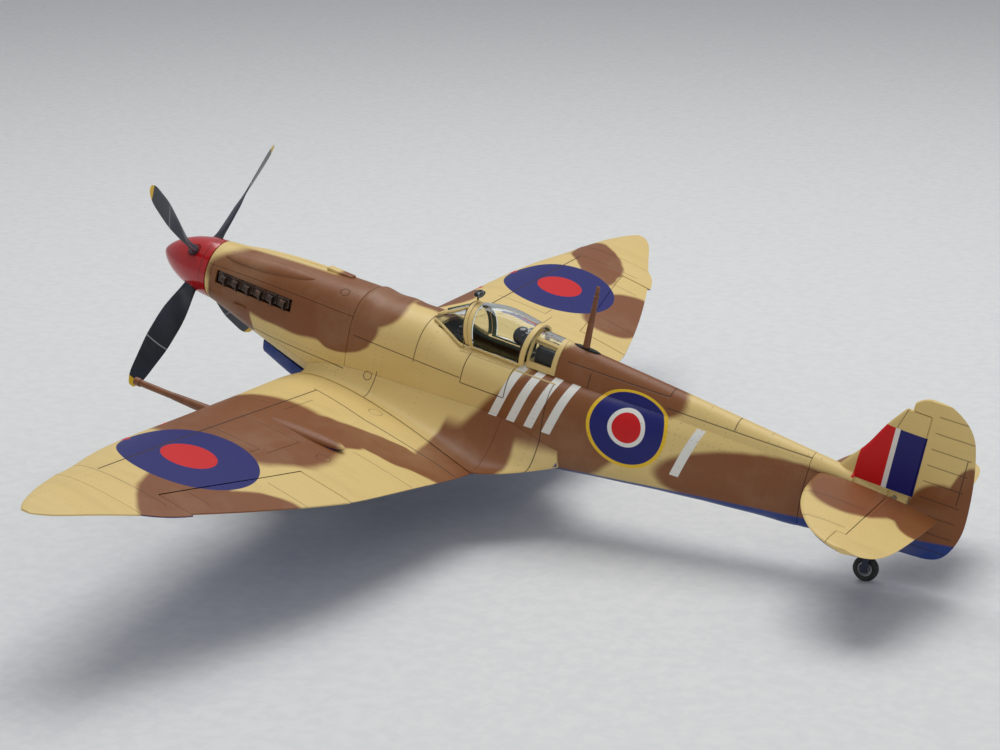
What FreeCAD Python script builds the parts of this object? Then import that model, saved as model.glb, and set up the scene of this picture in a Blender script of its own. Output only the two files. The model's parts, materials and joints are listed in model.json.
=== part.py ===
import FreeCAD, Part
import math
import os
import re
import Sketcher
from FreeCAD import Placement, Rotation, Vector

# Scale model of a single-seat piston-engined fighter standing on its wheels, 1/32 size.
# Every piece is drawn in the aircraft's own datum: X aft from the spinner's tip, Y to
# starboard, Z up from the thrust line, in millimetres. The stance placement then tips
# the whole aircraft nose up on its tyres and puts the floor at Z = 0.

SIZES = [
    ("spinner_length", 24.2, "spinner tip to its base"),
    ("spinner_radius", 10.5, "spinner base radius"),
    ("cowl_length", 61.8, "spinner base to firewall"),
    ("cabin_length", 62.0, "firewall to the frame behind the pilot"),
    ("boom_length", 101.0, "pilot's frame to tail unit joint"),
    ("tail_length", 33.0, "tail unit joint to rudder hinge line"),
    ("skin", 1.2, "fuselage shell wall"),
    ("cowl_skin", 0.9, "cowling panel wall"),
    ("seam", 0.1, "half the gap between neighbouring panels"),
    ("semi_span", 191.3, "half the wing span"),
    ("root_chord", 81.8, "wing chord at the root"),
    ("wing_front", 66.0, "root leading edge, aft of the spinner tip"),
    ("wing_root", 12.8, "root rib from the centre line"),
    ("wing_height", -22.3, "wing mid surface height at the dihedral break"),
    ("dihedral", 6.0, "degrees"),
    ("root_thick", 0.132, "root thickness over chord"),
    ("tip_thick", 0.085, "tip thickness over chord"),
    ("wing_skin", 0.9, "wing shell wall"),
    ("tip_length", 28.5, "detachable wing tip"),
    ("aileron_inset", 42.3, "wing tip to aileron's outer end"),
    ("aileron_length", 56.0, "aileron span"),
    ("aileron_share", 0.73, "aileron hinge line, share of chord"),
    ("flap_share", 0.79, "flap hinge line, share of chord"),
    ("flap_thick", 0.6, "split flap plate"),
    ("control_gap", 0.25, "gap round each control surface"),
    ("gun_y", 69.0, "cannon from the centre line"),
    ("gun_reach", 28.5, "cannon muzzle ahead of the leading edge"),
    ("gun_radius", 1.1, "cannon barrel"),
    ("blade_reach", 51.3, "propeller radius"),
    ("blade_chord", 9.6, "widest blade chord"),
    ("blade_plane", 16.4, "propeller plane aft of the spinner tip"),
    ("blade_shank", 2.3, "blade root radius"),
    ("blade_phase", -42.7, "propeller rest angle, degrees"),
    ("shaft_radius", 1.5, "propeller shaft"),
    ("shaft_play", 0.05, "radial running clearance of shafts and axles"),
    ("tyre_radius", 9.5, "main tyre"),
    ("tyre_width", 5.6, "main tyre"),
    ("rim_radius", 5.6, "main wheel rim"),
    ("axle_radius", 0.9, "main wheel axle"),
    ("wheel_x", 74.0, "main axle aft of the spinner tip"),
    ("wheel_y", 27.2, "half the wheel track"),
    ("wheel_drop", 52.8, "main axle below the thrust line"),
    ("leg_x", 87.0, "leg pivot aft of the spinner tip"),
    ("leg_y", 17.0, "leg pivot from the centre line"),
    ("leg_radius", 1.5, "upper leg"),
    ("ram_radius", 1.05, "sliding lower leg"),
    ("tail_tyre_radius", 4.15, "tail wheel"),
    ("tail_tyre_width", 2.6, "tail wheel"),
    ("tail_axle_radius", 0.5, "tail wheel axle"),
    ("tail_wheel_ahead", 8.7, "tail axle ahead of the rudder hinge"),
    ("tail_wheel_drop", 18.1, "tail axle below the thrust line"),
    ("castor_trail", 3.3, "tail axle behind its swivel"),
    ("swivel_radius", 0.8, "tail wheel swivel pin"),
    ("tail_span", 51.0, "half the tailplane span"),
    ("tail_height", 7.6, "tailplane above the thrust line"),
    ("tail_hinge_ahead", 5.5, "elevator hinge ahead of the rudder hinge"),
    ("tail_thick", 3.9, "tailplane thickness at the root"),
    ("tube_radius", 0.8, "elevator torque tube"),
    ("rudder_top", 36.6, "fin top, where the rudder's balance passes over"),
    ("fin_thick", 3.0, "fin thickness at its foot"),
    ("hood_width", 8.9, "sliding hood half width"),
    ("hood_wall", 0.8, "hood glass wall"),
    ("hood_travel", 14.0, "how far the hood slides aft"),
    ("sill_height", 9.2, "hood rail above the thrust line"),
    ("mast_height", 21.3, "radio mast"),
    ("mast_behind", 18.1, "mast behind the pilot's frame"),
    ("stub_count", 6, "exhaust stubs each side"),
    ("stub_pitch", 5.1, "exhaust stub spacing"),
    ("stub_size", 2.5, "exhaust stub height"),
]

doc = FreeCAD.newDocument("fighter")
sheet = doc.addObject("Spreadsheet::Sheet", "Sizes")
for row, (alias, amount, meaning) in enumerate(SIZES, start=1):
    sheet.set("A%d" % row, meaning)
    sheet.set("B%d" % row, str(amount))
    sheet.setAlias("B%d" % row, alias)
doc.recompute()
NAMES = [entry[0] for entry in SIZES]
pieces = []


def size(alias):
    """The current value of one named size."""
    return float(sheet.get(alias))


def bound(text):
    """Turns size names in a formula into references to the sheet."""
    def swap(match):
        word = match.group(0)
        return "Sizes." + word if word in NAMES else word
    return re.sub(r"[a-z_]+", swap, text)


# Main stations along the fuselage.
FIREWALL = size("spinner_length") + size("cowl_length")
PILOT_FRAME = FIREWALL + size("cabin_length")
TAIL_JOINT = PILOT_FRAME + size("boom_length")
RUDDER_X = TAIL_JOINT + size("tail_length")
ELEVATOR_X = RUDDER_X - size("tail_hinge_ahead")
TAIL_AXLE_X = RUDDER_X - size("tail_wheel_ahead")
MAST_X = PILOT_FRAME + size("mast_behind")
TIP_JOINT = size("semi_span") - size("tip_length")
AILERON_OUT = size("semi_span") - size("aileron_inset")
AILERON_IN = AILERON_OUT - size("aileron_length")
SPAR_X = size("wing_front") + 0.28 * size("root_chord")


def keep(name, shape, local=None):
    """A finished sub-part made directly from a shape."""
    feature = doc.addObject("Part::Feature", name)
    feature.Label = name
    feature.Shape = shape
    pieces.append((feature, local or Placement()))
    return feature


def claim(name, feature, local=None):
    """A finished sub-part made as a document feature."""
    feature.Label = name
    pieces.append((feature, local or Placement()))
    return feature


def table(rows, key, column):
    """Smooth monotone interpolation in a station table."""
    keys = [entry[0] for entry in rows]
    values = [entry[column] for entry in rows]
    if key <= keys[0]:
        return values[0]
    if key >= keys[-1]:
        return values[-1]
    spans = [b - a for a, b in zip(keys, keys[1:])]
    slopes = [(b - a) / span for a, b, span in zip(values, values[1:], spans)]
    tangents = [slopes[0]]
    for before, after in zip(slopes, slopes[1:]):
        same_way = before * after > 0
        tangents.append(2 * before * after / (before + after) if same_way else 0.0)
    tangents.append(slopes[-1])
    index = max(i for i in range(len(spans)) if keys[i] <= key)
    part = (key - keys[index]) / spans[index]
    keep_low = (1 + 2 * part) * (1 - part) ** 2
    keep_high = part * part * (3 - 2 * part)
    turn_low = part * (1 - part) ** 2 * spans[index]
    turn_high = part * part * (part - 1) * spans[index]
    ends = keep_low * values[index] + keep_high * values[index + 1]
    return ends + turn_low * tangents[index] + turn_high * tangents[index + 1]


def curve(points):
    """A smooth edge through the points."""
    spline = Part.BSplineCurve()
    spline.interpolate(points)
    return spline.toShape()


def line(start, end):
    return Part.LineSegment(start, end).toShape()


def ring(*strokes):
    """A closed wire: strokes of several points are smooth, joined by straight edges."""
    edges = []
    for index, stroke in enumerate(strokes):
        after = strokes[(index + 1) % len(strokes)]
        if len(stroke) == 2:
            edges.append(line(stroke[0], stroke[1]))
        elif len(stroke) > 2:
            edges.append(curve(stroke))
        if stroke[-1].distanceToPoint(after[0]) > 1e-6:
            edges.append(line(stroke[-1], after[0]))
    return Part.Wire(edges)


def loft(wires, ruled=False):
    solid = Part.makeLoft(wires, True, ruled)
    return solid if solid.Volume > 0 else solid.reversed()


def block(low, high):
    """A box between two corners."""
    return Part.makeBox(high[0] - low[0], high[1] - low[1], high[2] - low[2], Vector(*low))


def rod(start, end, radius, end_radius=None):
    """A round bar or cone between two points."""
    start, end = Vector(*start), Vector(*end)
    along = end - start
    if end_radius is None or abs(end_radius - radius) < 1e-6:
        return Part.makeCylinder(radius, along.Length, start, along)
    return Part.makeCone(radius, end_radius, along.Length, start, along)


def plan_prism(corners, low=-80.0, high=80.0):
    """A vertical prism over a plan outline."""
    points = [Vector(x, y, low) for x, y in corners]
    face = Part.Face(Part.makePolygon(points + points[:1]))
    return face.extrude(Vector(0, 0, high - low))


def fused(shapes):
    whole = shapes[0].fuse(shapes[1:])
    return whole.removeSplitter()


def mirrored(shape):
    """The starboard twin of a port shape, or the other way round."""
    return shape.mirror(Vector(0, 0, 0), Vector(0, 1, 0))


# ---------------------------------------------------------------- fuselage form
# Each row: zone, share of the zone, half width, deck height, widest height, keel height,
# fullness above and below the widest line. Zones run between the main stations.
ZONES = [size("spinner_length") + 0.3, FIREWALL, PILOT_FRAME, TAIL_JOINT, RUDDER_X]
FORM = [
    (0, 0.00, 10.5, 10.6, 0.0, -10.6, 2.00, 2.00),
    (0, 0.25, 11.5, 11.7, -0.8, -15.2, 2.30, 2.10),
    (0, 0.55, 12.4, 12.8, -1.8, -20.6, 2.50, 2.30),
    (1, 0.00, 13.2, 13.5, -2.8, -26.6, 2.50, 2.70),
    (1, 0.40, 13.8, 13.1, -3.0, -27.4, 2.50, 2.90),
    (1, 0.54, 14.0, 11.5, -3.0, -27.2, 2.60, 2.90),
    (1, 0.65, 14.0, 9.1, -3.0, -26.8, 2.80, 2.80),
    (2, 0.00, 13.4, 8.9, -2.8, -26.3, 2.90, 2.60),
    (2, 0.12, 12.8, 9.1, -2.5, -24.6, 2.70, 2.30),
    (2, 0.30, 11.4, 9.8, -1.5, -21.8, 2.40, 2.10),
    (2, 0.55, 9.1, 10.8, 0.0, -18.0, 2.20, 2.00),
    (2, 0.80, 6.6, 11.2, 1.0, -14.8, 2.10, 2.00),
    (3, 0.00, 4.8, 11.3, 1.5, -12.7, 2.00, 2.00),
    (3, 0.50, 3.2, 10.4, 1.5, -10.4, 2.00, 2.00),
    (3, 0.97, 1.6, 9.2, 1.5, -8.6, 2.00, 2.00),
]
HULL = [(ZONES[z] + share * (ZONES[z + 1] - ZONES[z]),) + tuple(rest)
        for z, share, *rest in FORM]


def hull_point(x, angle, inset=0.0):
    """A point on the fuselage section at x; 90 degrees is the deck, -90 the keel."""
    width = table(HULL, x, 1) - inset
    deck = table(HULL, x, 2) - inset
    middle = table(HULL, x, 3)
    keel = table(HULL, x, 4) + inset
    above = angle >= 0
    power = 2.0 / table(HULL, x, 5 if above else 6)
    turn = math.radians(angle)
    across = max(math.cos(turn), 0.0) ** power * width
    rise = abs(math.sin(turn)) ** power
    return Vector(x, across, middle + rise * ((deck - middle) if above else (keel - middle)))


def hull_angle(x, height):
    """The section angle that lies at a height below the widest line."""
    middle = table(HULL, x, 3)
    keel = table(HULL, x, 4)
    share = (height - middle) / (keel - middle)
    power = 2.0 / table(HULL, x, 6)
    return -math.degrees(math.asin(min(max(share, 0.0), 1.0) ** (1.0 / power)))


def hull_width(x, height):
    """Half width of the fuselage at a height."""
    middle = table(HULL, x, 3)
    above = height >= middle
    limit = table(HULL, x, 2 if above else 4)
    full = table(HULL, x, 5 if above else 6)
    share = min(abs((height - middle) / (limit - middle)), 1.0)
    return table(HULL, x, 1) * (1.0 - share ** full) ** (1.0 / full)


def spread(low, high, count):
    return [low + (high - low) * i / (count - 1) for i in range(count)]


def sector(x, low, high, wall, count=13):
    """A curved strip of skin between two section angles."""
    outer = [hull_point(x, a) for a in spread(high, low, count)]
    inner = [hull_point(x, a, wall) for a in spread(low, high, count)]
    return ring(outer, inner)


def panel(stations, low, high, wall):
    """A skin panel; low and high are section angles or functions of x."""
    wires = []
    for x in stations:
        start = low(x) if callable(low) else low
        stop = high(x) if callable(high) else high
        wires.append(sector(x, start, stop, wall))
    return loft(wires)


def spine_top(x):
    """Ridge height of the fairing behind the hood."""
    share = (x - PILOT_FRAME) / size("boom_length")
    return 20.1 - 7.6 * max(share, 0.0) ** 1.15


def spine_width(x):
    share = (x - PILOT_FRAME) / size("boom_length")
    return 6.9 - 3.2 * min(max(share, 0.0), 1.0) ** 1.4


def spine_section(x, inset=0.0, foot=3.0):
    """Closed section of the ridge fairing, its foot inside the fuselage."""
    base = table(HULL, x, 2) - foot
    top = spine_top(x) - inset
    width = spine_width(x) - inset
    points = []
    for a in spread(0, 180, 15):
        turn = math.radians(a)
        rise = math.sin(turn) ** 0.85
        points.append(Vector(x, width * math.cos(turn), base + (top - base) * rise))
    return ring(points)


# ---------------------------------------------------------------- engine bay
def hull_height(x, across):
    """Height of the fuselage's upper surface at a distance from the centre line."""
    full = table(HULL, x, 5)
    share = min(across / table(HULL, x, 1), 1.0)
    middle = table(HULL, x, 3)
    return middle + (table(HULL, x, 2) - middle) * (1.0 - share ** full) ** (1.0 / full)


def both_sides(points):
    """A stroke from port to starboard out of one that starts on the centre line."""
    port = [Vector(p.x, -p.y, p.z) for p in reversed(points)]
    return port[:-1] + points


def arch_panel(stations, centre, edge, wall):
    """A panel astride the centre line, from the deck or keel out to an edge angle."""
    wires = []
    for x in stations:
        outer = both_sides([hull_point(x, a) for a in spread(centre, edge, 9)])
        inner = both_sides([hull_point(x, a, wall) for a in spread(centre, edge, 9)])
        wires.append(ring(outer, inner[::-1]))
    return loft(wires)


def exhaust_start():
    return size("spinner_length") + 6.2


def exhaust_run():
    return (size("stub_count") - 1) * size("stub_pitch") + 3.0


def rocker_bulge(middle, side, long_half):
    """A long low swelling over one cylinder bank, its flat foot inside the panel wall."""
    across = 6.6
    slope = hull_height(middle, across + 1) - hull_height(middle, across - 1)
    climb = hull_height(middle + 15, across) - hull_height(middle - 15, across)
    stretch = FreeCAD.Matrix()
    stretch.scale(long_half, 2.9, 1.25)
    bump = Part.makeSphere(1.0, Vector(0, 0, 0), Vector(0, 0, 1), 0, 90, 360)
    bump = bump.transformGeometry(stretch)
    bump.rotate(Vector(0, 0, 0), Vector(1, 0, 0), side * math.degrees(math.atan(slope / 2)))
    bump.rotate(Vector(0, 0, 0), Vector(0, 1, 0), -math.degrees(math.atan(climb / 30)))
    bump.translate(Vector(middle, side * across, hull_height(middle, across) - 0.5))
    return bump


def make_nose():
    wall = size("cowl_skin")
    start, stop = ZONES[0], FIREWALL - size("seam")
    stations = spread(start, stop, 6)
    top = arch_panel(stations, 90, 27.6, wall)
    middle = start + 0.38 * (stop - start)
    for side in (-1, 1):
        top = top.fuse(rocker_bulge(middle, side, 0.30 * (stop - start)))
    keep("cowl_top", top)
    side = panel(stations, -38.0, 27.0, wall)
    ahead = exhaust_start() - 1.4
    behind = exhaust_start() + exhaust_run() + 2.8
    side = side.cut(block((ahead, 5, -0.6), (behind, 20, 3.9)))
    keep("cowl_right", side)
    keep("cowl_left", mirrored(side))
    keep("cowl_lower", arch_panel(stations, -90, -38.6, wall))


def make_firewall():
    wires = []
    for x in (FIREWALL + 0.1, FIREWALL + 1.1):
        points = [hull_point(x, a, size("skin") + 0.25) for a in spread(90, -90, 15)]
        port = [Vector(p.x, -p.y, p.z) for p in reversed(points)]
        wires.append(ring(points, port))
    keep("firewall", loft(wires, True))


def make_engine():
    front = size("spinner_length") + 1.2
    rear = FIREWALL - 0.05
    bay = rear - front
    crank = block((front + 5, -6.0, -9.0), (rear - 8, 6.0, -1.0))
    bank_x = exhaust_start() - 1
    bank_end = exhaust_start() + exhaust_run() + 1
    heads = [block((bank_x, low, -1.0), (bank_end, low + 7.6, 4.4)) for low in (-8.9, 1.3)]
    blower = rod((rear - 9, 0, -3), (rear - 3, 0, -3), 7.0)
    mounts = [rod((rear - 8, y, -5), (rear, y, -5), 1.0) for y in (-5.0, 5.0)]
    gearcase = rod((front, 0, 0), (front + 6, 0, -1.0), 6.2)
    whole = fused([crank] + heads + [blower] + mounts + [gearcase])
    bore = size("shaft_radius") + size("shaft_play")
    whole = whole.cut(rod((front - 1, 0, 0), (front + 0.3 * bay, 0, 0), bore))
    keep("engine_block", whole)


def make_exhausts():
    """Six swept ejector stubs on a flange, patterned along the engine."""
    for name, flip in (("exhausts_right", 1), ("exhausts_left", -1)):
        body = new_body(name)
        flange = [("0", "0"), ("(stub_count-1)*stub_pitch+3", "0"),
                  ("(stub_count-1)*stub_pitch+3", "stub_size"), ("0", "stub_size")]
        pad(body, "XZ_Plane", flange, "1.2", reverse=flip > 0)
        stub = [("0.35", "0"), ("3.1", "0"), ("5.4", "4.6*%d" % flip), ("2.7", "4.6*%d" % flip)]
        pad(body, "XY_Plane", stub, "stub_size")
        pattern = body.newObject("PartDesign::LinearPattern", name + "_row")
        pattern.Originals = [body.Tip]
        pattern.Direction = (origin_part(body, "X_Axis"), [""])
        pattern.setExpression("Occurrences", bound("stub_count"))
        pattern.setExpression("Length", bound("(stub_count-1)*stub_pitch"))
        body.Tip = pattern
        claim(name, body, Placement(Vector(exhaust_start(), flip * 9.0, 0.5), Rotation()))


# ---------------------------------------------------------------- sketch helpers
def new_body(name):
    body = doc.addObject("PartDesign::Body", name)
    doc.recompute()
    return body


def origin_part(body, role):
    """A plane or axis of the body's own origin."""
    for feature in body.Origin.OriginFeatures:
        if feature.Role == role:
            return feature
    raise ValueError(role)


def outline(body, role, corners):
    """A closed sketch of straight edges, each corner bound to two formulas."""
    sketch = body.newObject("Sketcher::SketchObject", body.Name + "_outline")
    sketch.AttachmentSupport = (origin_part(body, role), [""])
    sketch.MapMode = "FlatFace"
    count = len(corners)
    turns = [2 * math.pi * i / count for i in range(count)]
    rough = [Vector(20 + 10 * math.cos(a), 20 + 10 * math.sin(a), 0) for a in turns]
    for i in range(count):
        sketch.addGeometry(Part.LineSegment(rough[i], rough[(i + 1) % count]), False)
    for i in range(count):
        sketch.addConstraint(Sketcher.Constraint("Coincident", i, 2, (i + 1) % count, 1))
    for i, (across, up) in enumerate(corners):
        for kind, formula, start in (("DistanceX", across, rough[i].x), ("DistanceY", up, rough[i].y)):
            index = sketch.addConstraint(Sketcher.Constraint(kind, -1, 1, i, 1, start))
            sketch.setExpression("Constraints[%d]" % index, bound(formula))
    doc.recompute()
    return sketch


def pad(body, role, corners, length, reverse=False, middle=False):
    feature = body.newObject("PartDesign::Pad", body.Name + "_pad")
    feature.Profile = outline(body, role, corners)
    feature.setExpression("Length", bound(length))
    feature.Reversed = reverse
    feature.Midplane = middle
    doc.recompute()
    body.Tip = feature
    return feature


def turned(body, role, corners, axis):
    """A turned piece: the outline revolved about a sketch axis."""
    sketch = outline(body, role, corners)
    feature = body.newObject("PartDesign::Revolution", body.Name + "_turned")
    feature.Profile = sketch
    feature.ReferenceAxis = (sketch, [axis])
    feature.Angle = 360
    doc.recompute()
    body.Tip = feature
    return feature


# ---------------------------------------------------------------- propeller
def radial(angle, reach, x):
    turn = math.radians(angle)
    return (x, reach * math.cos(turn), reach * math.sin(turn))


def make_propeller():
    plane = size("blade_plane")
    length, radius = size("spinner_length"), size("spinner_radius")
    swell = (length ** 2 + radius ** 2) / (2 * radius)
    shell = []
    for inset in (0.0, 0.8):
        points = []
        for i in range(13):
            x = inset * 1.6 + (length - 0.15 - inset * 1.6) * (i / 12.0) ** 1.5
            bow = math.sqrt(max(swell ** 2 - (length - x) ** 2, 0.0)) - (swell - radius)
            blunt = radius * math.sqrt(max(1 - ((length - x) / length) ** 2, 0.0))
            reach = 0.55 * bow + 0.45 * blunt - inset
            points.append(Vector(x, 0, max(reach, 0.0) if i else 0.0))
        profile = Part.Wire([curve(points), line(points[-1], Vector(points[-1].x, 0, 0)),
                             line(Vector(points[-1].x, 0, 0), points[0])])
        shell.append(Part.Face(profile).revolve(Vector(0, 0, 0), Vector(1, 0, 0), 360))
    spinner = shell[0].cut(shell[1])
    for k in range(4):
        angle = size("blade_phase") + 90 * k
        hole = rod(radial(angle, 3, plane), radial(angle, radius + 5, plane),
                   size("blade_shank") + 0.35)
        spinner = spinner.cut(hole)
    keep("spinner", spinner)
    hub = new_body("propeller_hub")
    turned(hub, "XZ_Plane", [
        ("blade_plane-4", "0"), ("blade_plane-4", "4.2"), ("blade_plane+4", "4.2"),
        ("blade_plane+4", "3"), ("spinner_length-1.1", "3"),
        ("spinner_length-1.1", "spinner_radius-1.1"),
        ("spinner_length-0.25", "spinner_radius-1.1"), ("spinner_length-0.25", "shaft_radius+1"),
        ("spinner_length+0.3", "shaft_radius+1"), ("spinner_length+0.3", "shaft_radius"),
        ("spinner_length+12", "shaft_radius"), ("spinner_length+12", "0")], "H_Axis")
    claim("propeller_hub", hub)
    rows = [  # share of radius, chord share, thickness share, pitch in degrees
        (0.087, 0.48, 1.00, 58), (0.17, 0.48, 0.98, 58), (0.25, 0.60, 0.42, 54),
        (0.38, 0.86, 0.20, 45), (0.55, 1.00, 0.12, 35), (0.72, 0.96, 0.09, 28),
        (0.86, 0.80, 0.08, 24), (0.95, 0.58, 0.08, 22), (0.995, 0.22, 0.10, 21)]
    reach = size("blade_reach")
    wires = []
    for share, chord, thick, pitch in rows:
        half = chord * size("blade_chord") / 2
        deep = half * thick
        if share < 0.2:
            half = deep = size("blade_shank")
        beta = math.radians(pitch)
        outline_points = []
        for i in range(13):
            turn = math.pi * i / 12
            outline_points.append((half * math.cos(turn), deep * math.sin(turn)))
        back = [(u, -v * (1.0 if share < 0.2 else 0.35)) for u, v in outline_points]
        front = [blade_corner(u, v, beta, share * reach, plane) for u, v in outline_points]
        rear = [blade_corner(u, v, beta, share * reach, plane) for u, v in reversed(back)]
        wires.append(ring(front, rear))
    blade = loft(wires)
    blades = []
    for k in range(4):
        copy = blade.copy()
        copy.rotate(Vector(0, 0, 0), Vector(1, 0, 0), size("blade_phase") + 90 * k - 90)
        blades.append(copy)
    keep("propeller_blades", Part.makeCompound(blades))


def blade_corner(along, out, beta, reach, plane):
    """A section corner of the blade that points straight up, leading edge to starboard."""
    x = plane - along * math.sin(beta) - out * math.cos(beta)
    return Vector(x, along * math.cos(beta) - out * math.sin(beta), reach)


# ---------------------------------------------------------------- wing form
# Share of the semi span, then leading and trailing edge as shares of the root chord.
PLANFORM = [
    (0.040, 0.000, 1.000), (0.163, 0.013, 1.000), (0.325, 0.049, 0.966),
    (0.490, 0.084, 0.920), (0.627, 0.114, 0.822), (0.735, 0.158, 0.729),
    (0.820, 0.202, 0.641), (0.900, 0.257, 0.545), (0.955, 0.306, 0.482),
    (0.985, 0.342, 0.436), (0.998, 0.366, 0.402)]


def wing_edges(across):
    share = across / size("semi_span")
    chord = size("root_chord")
    front = size("wing_front") + table(PLANFORM, share, 1) * chord
    return front, size("wing_front") + table(PLANFORM, share, 2) * chord


def half_thickness(share, thick):
    """Four-digit section half thickness over the chord, closed at the tail."""
    series = 0.2969 * math.sqrt(share) - 0.1260 * share - 0.3516 * share ** 2
    series += 0.2843 * share ** 3 - 0.1036 * share ** 4
    return 5.0 * thick * max(series, 0.0)


def camber(share):
    crest = 0.25
    if share < crest:
        return 0.018 * (2 * crest * share - share ** 2) / crest ** 2
    rest = (1 - 2 * crest) + 2 * crest * share - share ** 2
    return 0.018 * rest / (1 - crest) ** 2


def wing_z(across, x, side, inset=0.0):
    """Height of a wing surface: side 1 upper, -1 lower, 0 the mid surface."""
    front, rear = wing_edges(across)
    chord = rear - front
    share = min(max((x - front) / chord, 0.0), 1.0)
    reach = across / size("semi_span")
    thick = size("root_thick") + (size("tip_thick") - size("root_thick")) * reach
    spar_share = min(max((SPAR_X - front) / chord, 0.0), 1.0)
    middle = size("wing_height") + (max(across, size("wing_root")) - 15.0) * math.tan(
        math.radians(size("dihedral")))
    bend = (camber(share) - camber(spar_share)) * chord
    twist = math.tan(math.radians(2.0 - 2.5 * reach)) * (x - SPAR_X)
    depth = half_thickness(share, thick) * chord + 0.22
    return middle + bend - twist + side * max(depth - inset, 0.0)


def wing_shell(across, side):
    """Half of a hollow wing section: one skin with its rim on the mid surface."""
    front, rear = wing_edges(across)
    chord = rear - front
    outer = []
    for i in range(15):
        share = 0.5 * (1 - math.cos(math.pi * i / 14.0))
        x = front + share * chord
        outer.append(Vector(x, across, wing_z(across, x, side)))
    outer[0] = Vector(front - 0.1, across, wing_z(across, front, 0))
    tail = Vector(rear, across, wing_z(across, rear, 0))
    skin = size("wing_skin")
    deepest = [share for share in spread(0.30, 0.92, 32)
               if wing_z(across, front + share * chord, side, skin) * side
               > wing_z(across, front + share * chord, 0) * side + 0.12]
    shares = spread(0.08, deepest[-1], 9)
    inner = []
    for share in reversed(shares):
        x = front + share * chord
        inner.append(Vector(x, across, wing_z(across, x, side, skin)))
    start = Vector(inner[0].x, across, wing_z(across, inner[0].x, 0))
    stop = Vector(inner[-1].x, across, wing_z(across, inner[-1].x, 0))
    edges = [curve(outer), line(outer[-1], tail), line(tail, start), line(start, inner[0]),
             curve(inner), line(inner[-1], stop), line(stop, outer[0])]
    return Part.Wire(edges)


def wing_section(across):
    """A closed full section."""
    front, rear = wing_edges(across)
    chord = rear - front
    upper, lower = [], []
    for i in range(15):
        share = 0.5 * (1 - math.cos(math.pi * i / 14.0))
        x = front + share * chord
        upper.append(Vector(x, across, wing_z(across, x, 1)))
        lower.append(Vector(x, across, wing_z(across, x, -1)))
    nose = Vector(front - 0.1, across, wing_z(across, front, 0))
    upper[0] = lower[0] = nose
    return Part.Wire([curve(upper), line(upper[-1], lower[-1]), curve(lower[::-1])])


def hinge_point(across, share):
    front, rear = wing_edges(across)
    x = front + share * (rear - front)
    return Vector(x, across, wing_z(across, x, 0))


def hinge_depth(across, share):
    """Half thickness of the wing at a hinge line."""
    point = hinge_point(across, share)
    return wing_z(across, point.x, 1) - point.z


def aileron_ends():
    return AILERON_IN + size("control_gap"), AILERON_OUT - size("control_gap")


def aileron_axis():
    """Hinge line of the starboard aileron: two points and the nose radii there."""
    share = size("aileron_share")
    low, high = aileron_ends()
    return (hinge_point(low, share), hinge_point(high, share),
            hinge_depth(low, share) - 0.05, hinge_depth(high, share) - 0.05)


def aft_of_hinge(start, stop, back=80.0):
    """Plan prism behind a hinge line."""
    return plan_prism([(start.x, start.y), (start.x + back, start.y),
                       (stop.x + back, stop.y), (stop.x, stop.y)])


def flap_line():
    """Front edge of the split flap in plan: inner and outer ends."""
    inner = size("wing_root") + 1.6
    outer = AILERON_IN - 1.2
    return hinge_point(inner, size("flap_share")), hinge_point(outer, size("flap_share"))


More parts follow.
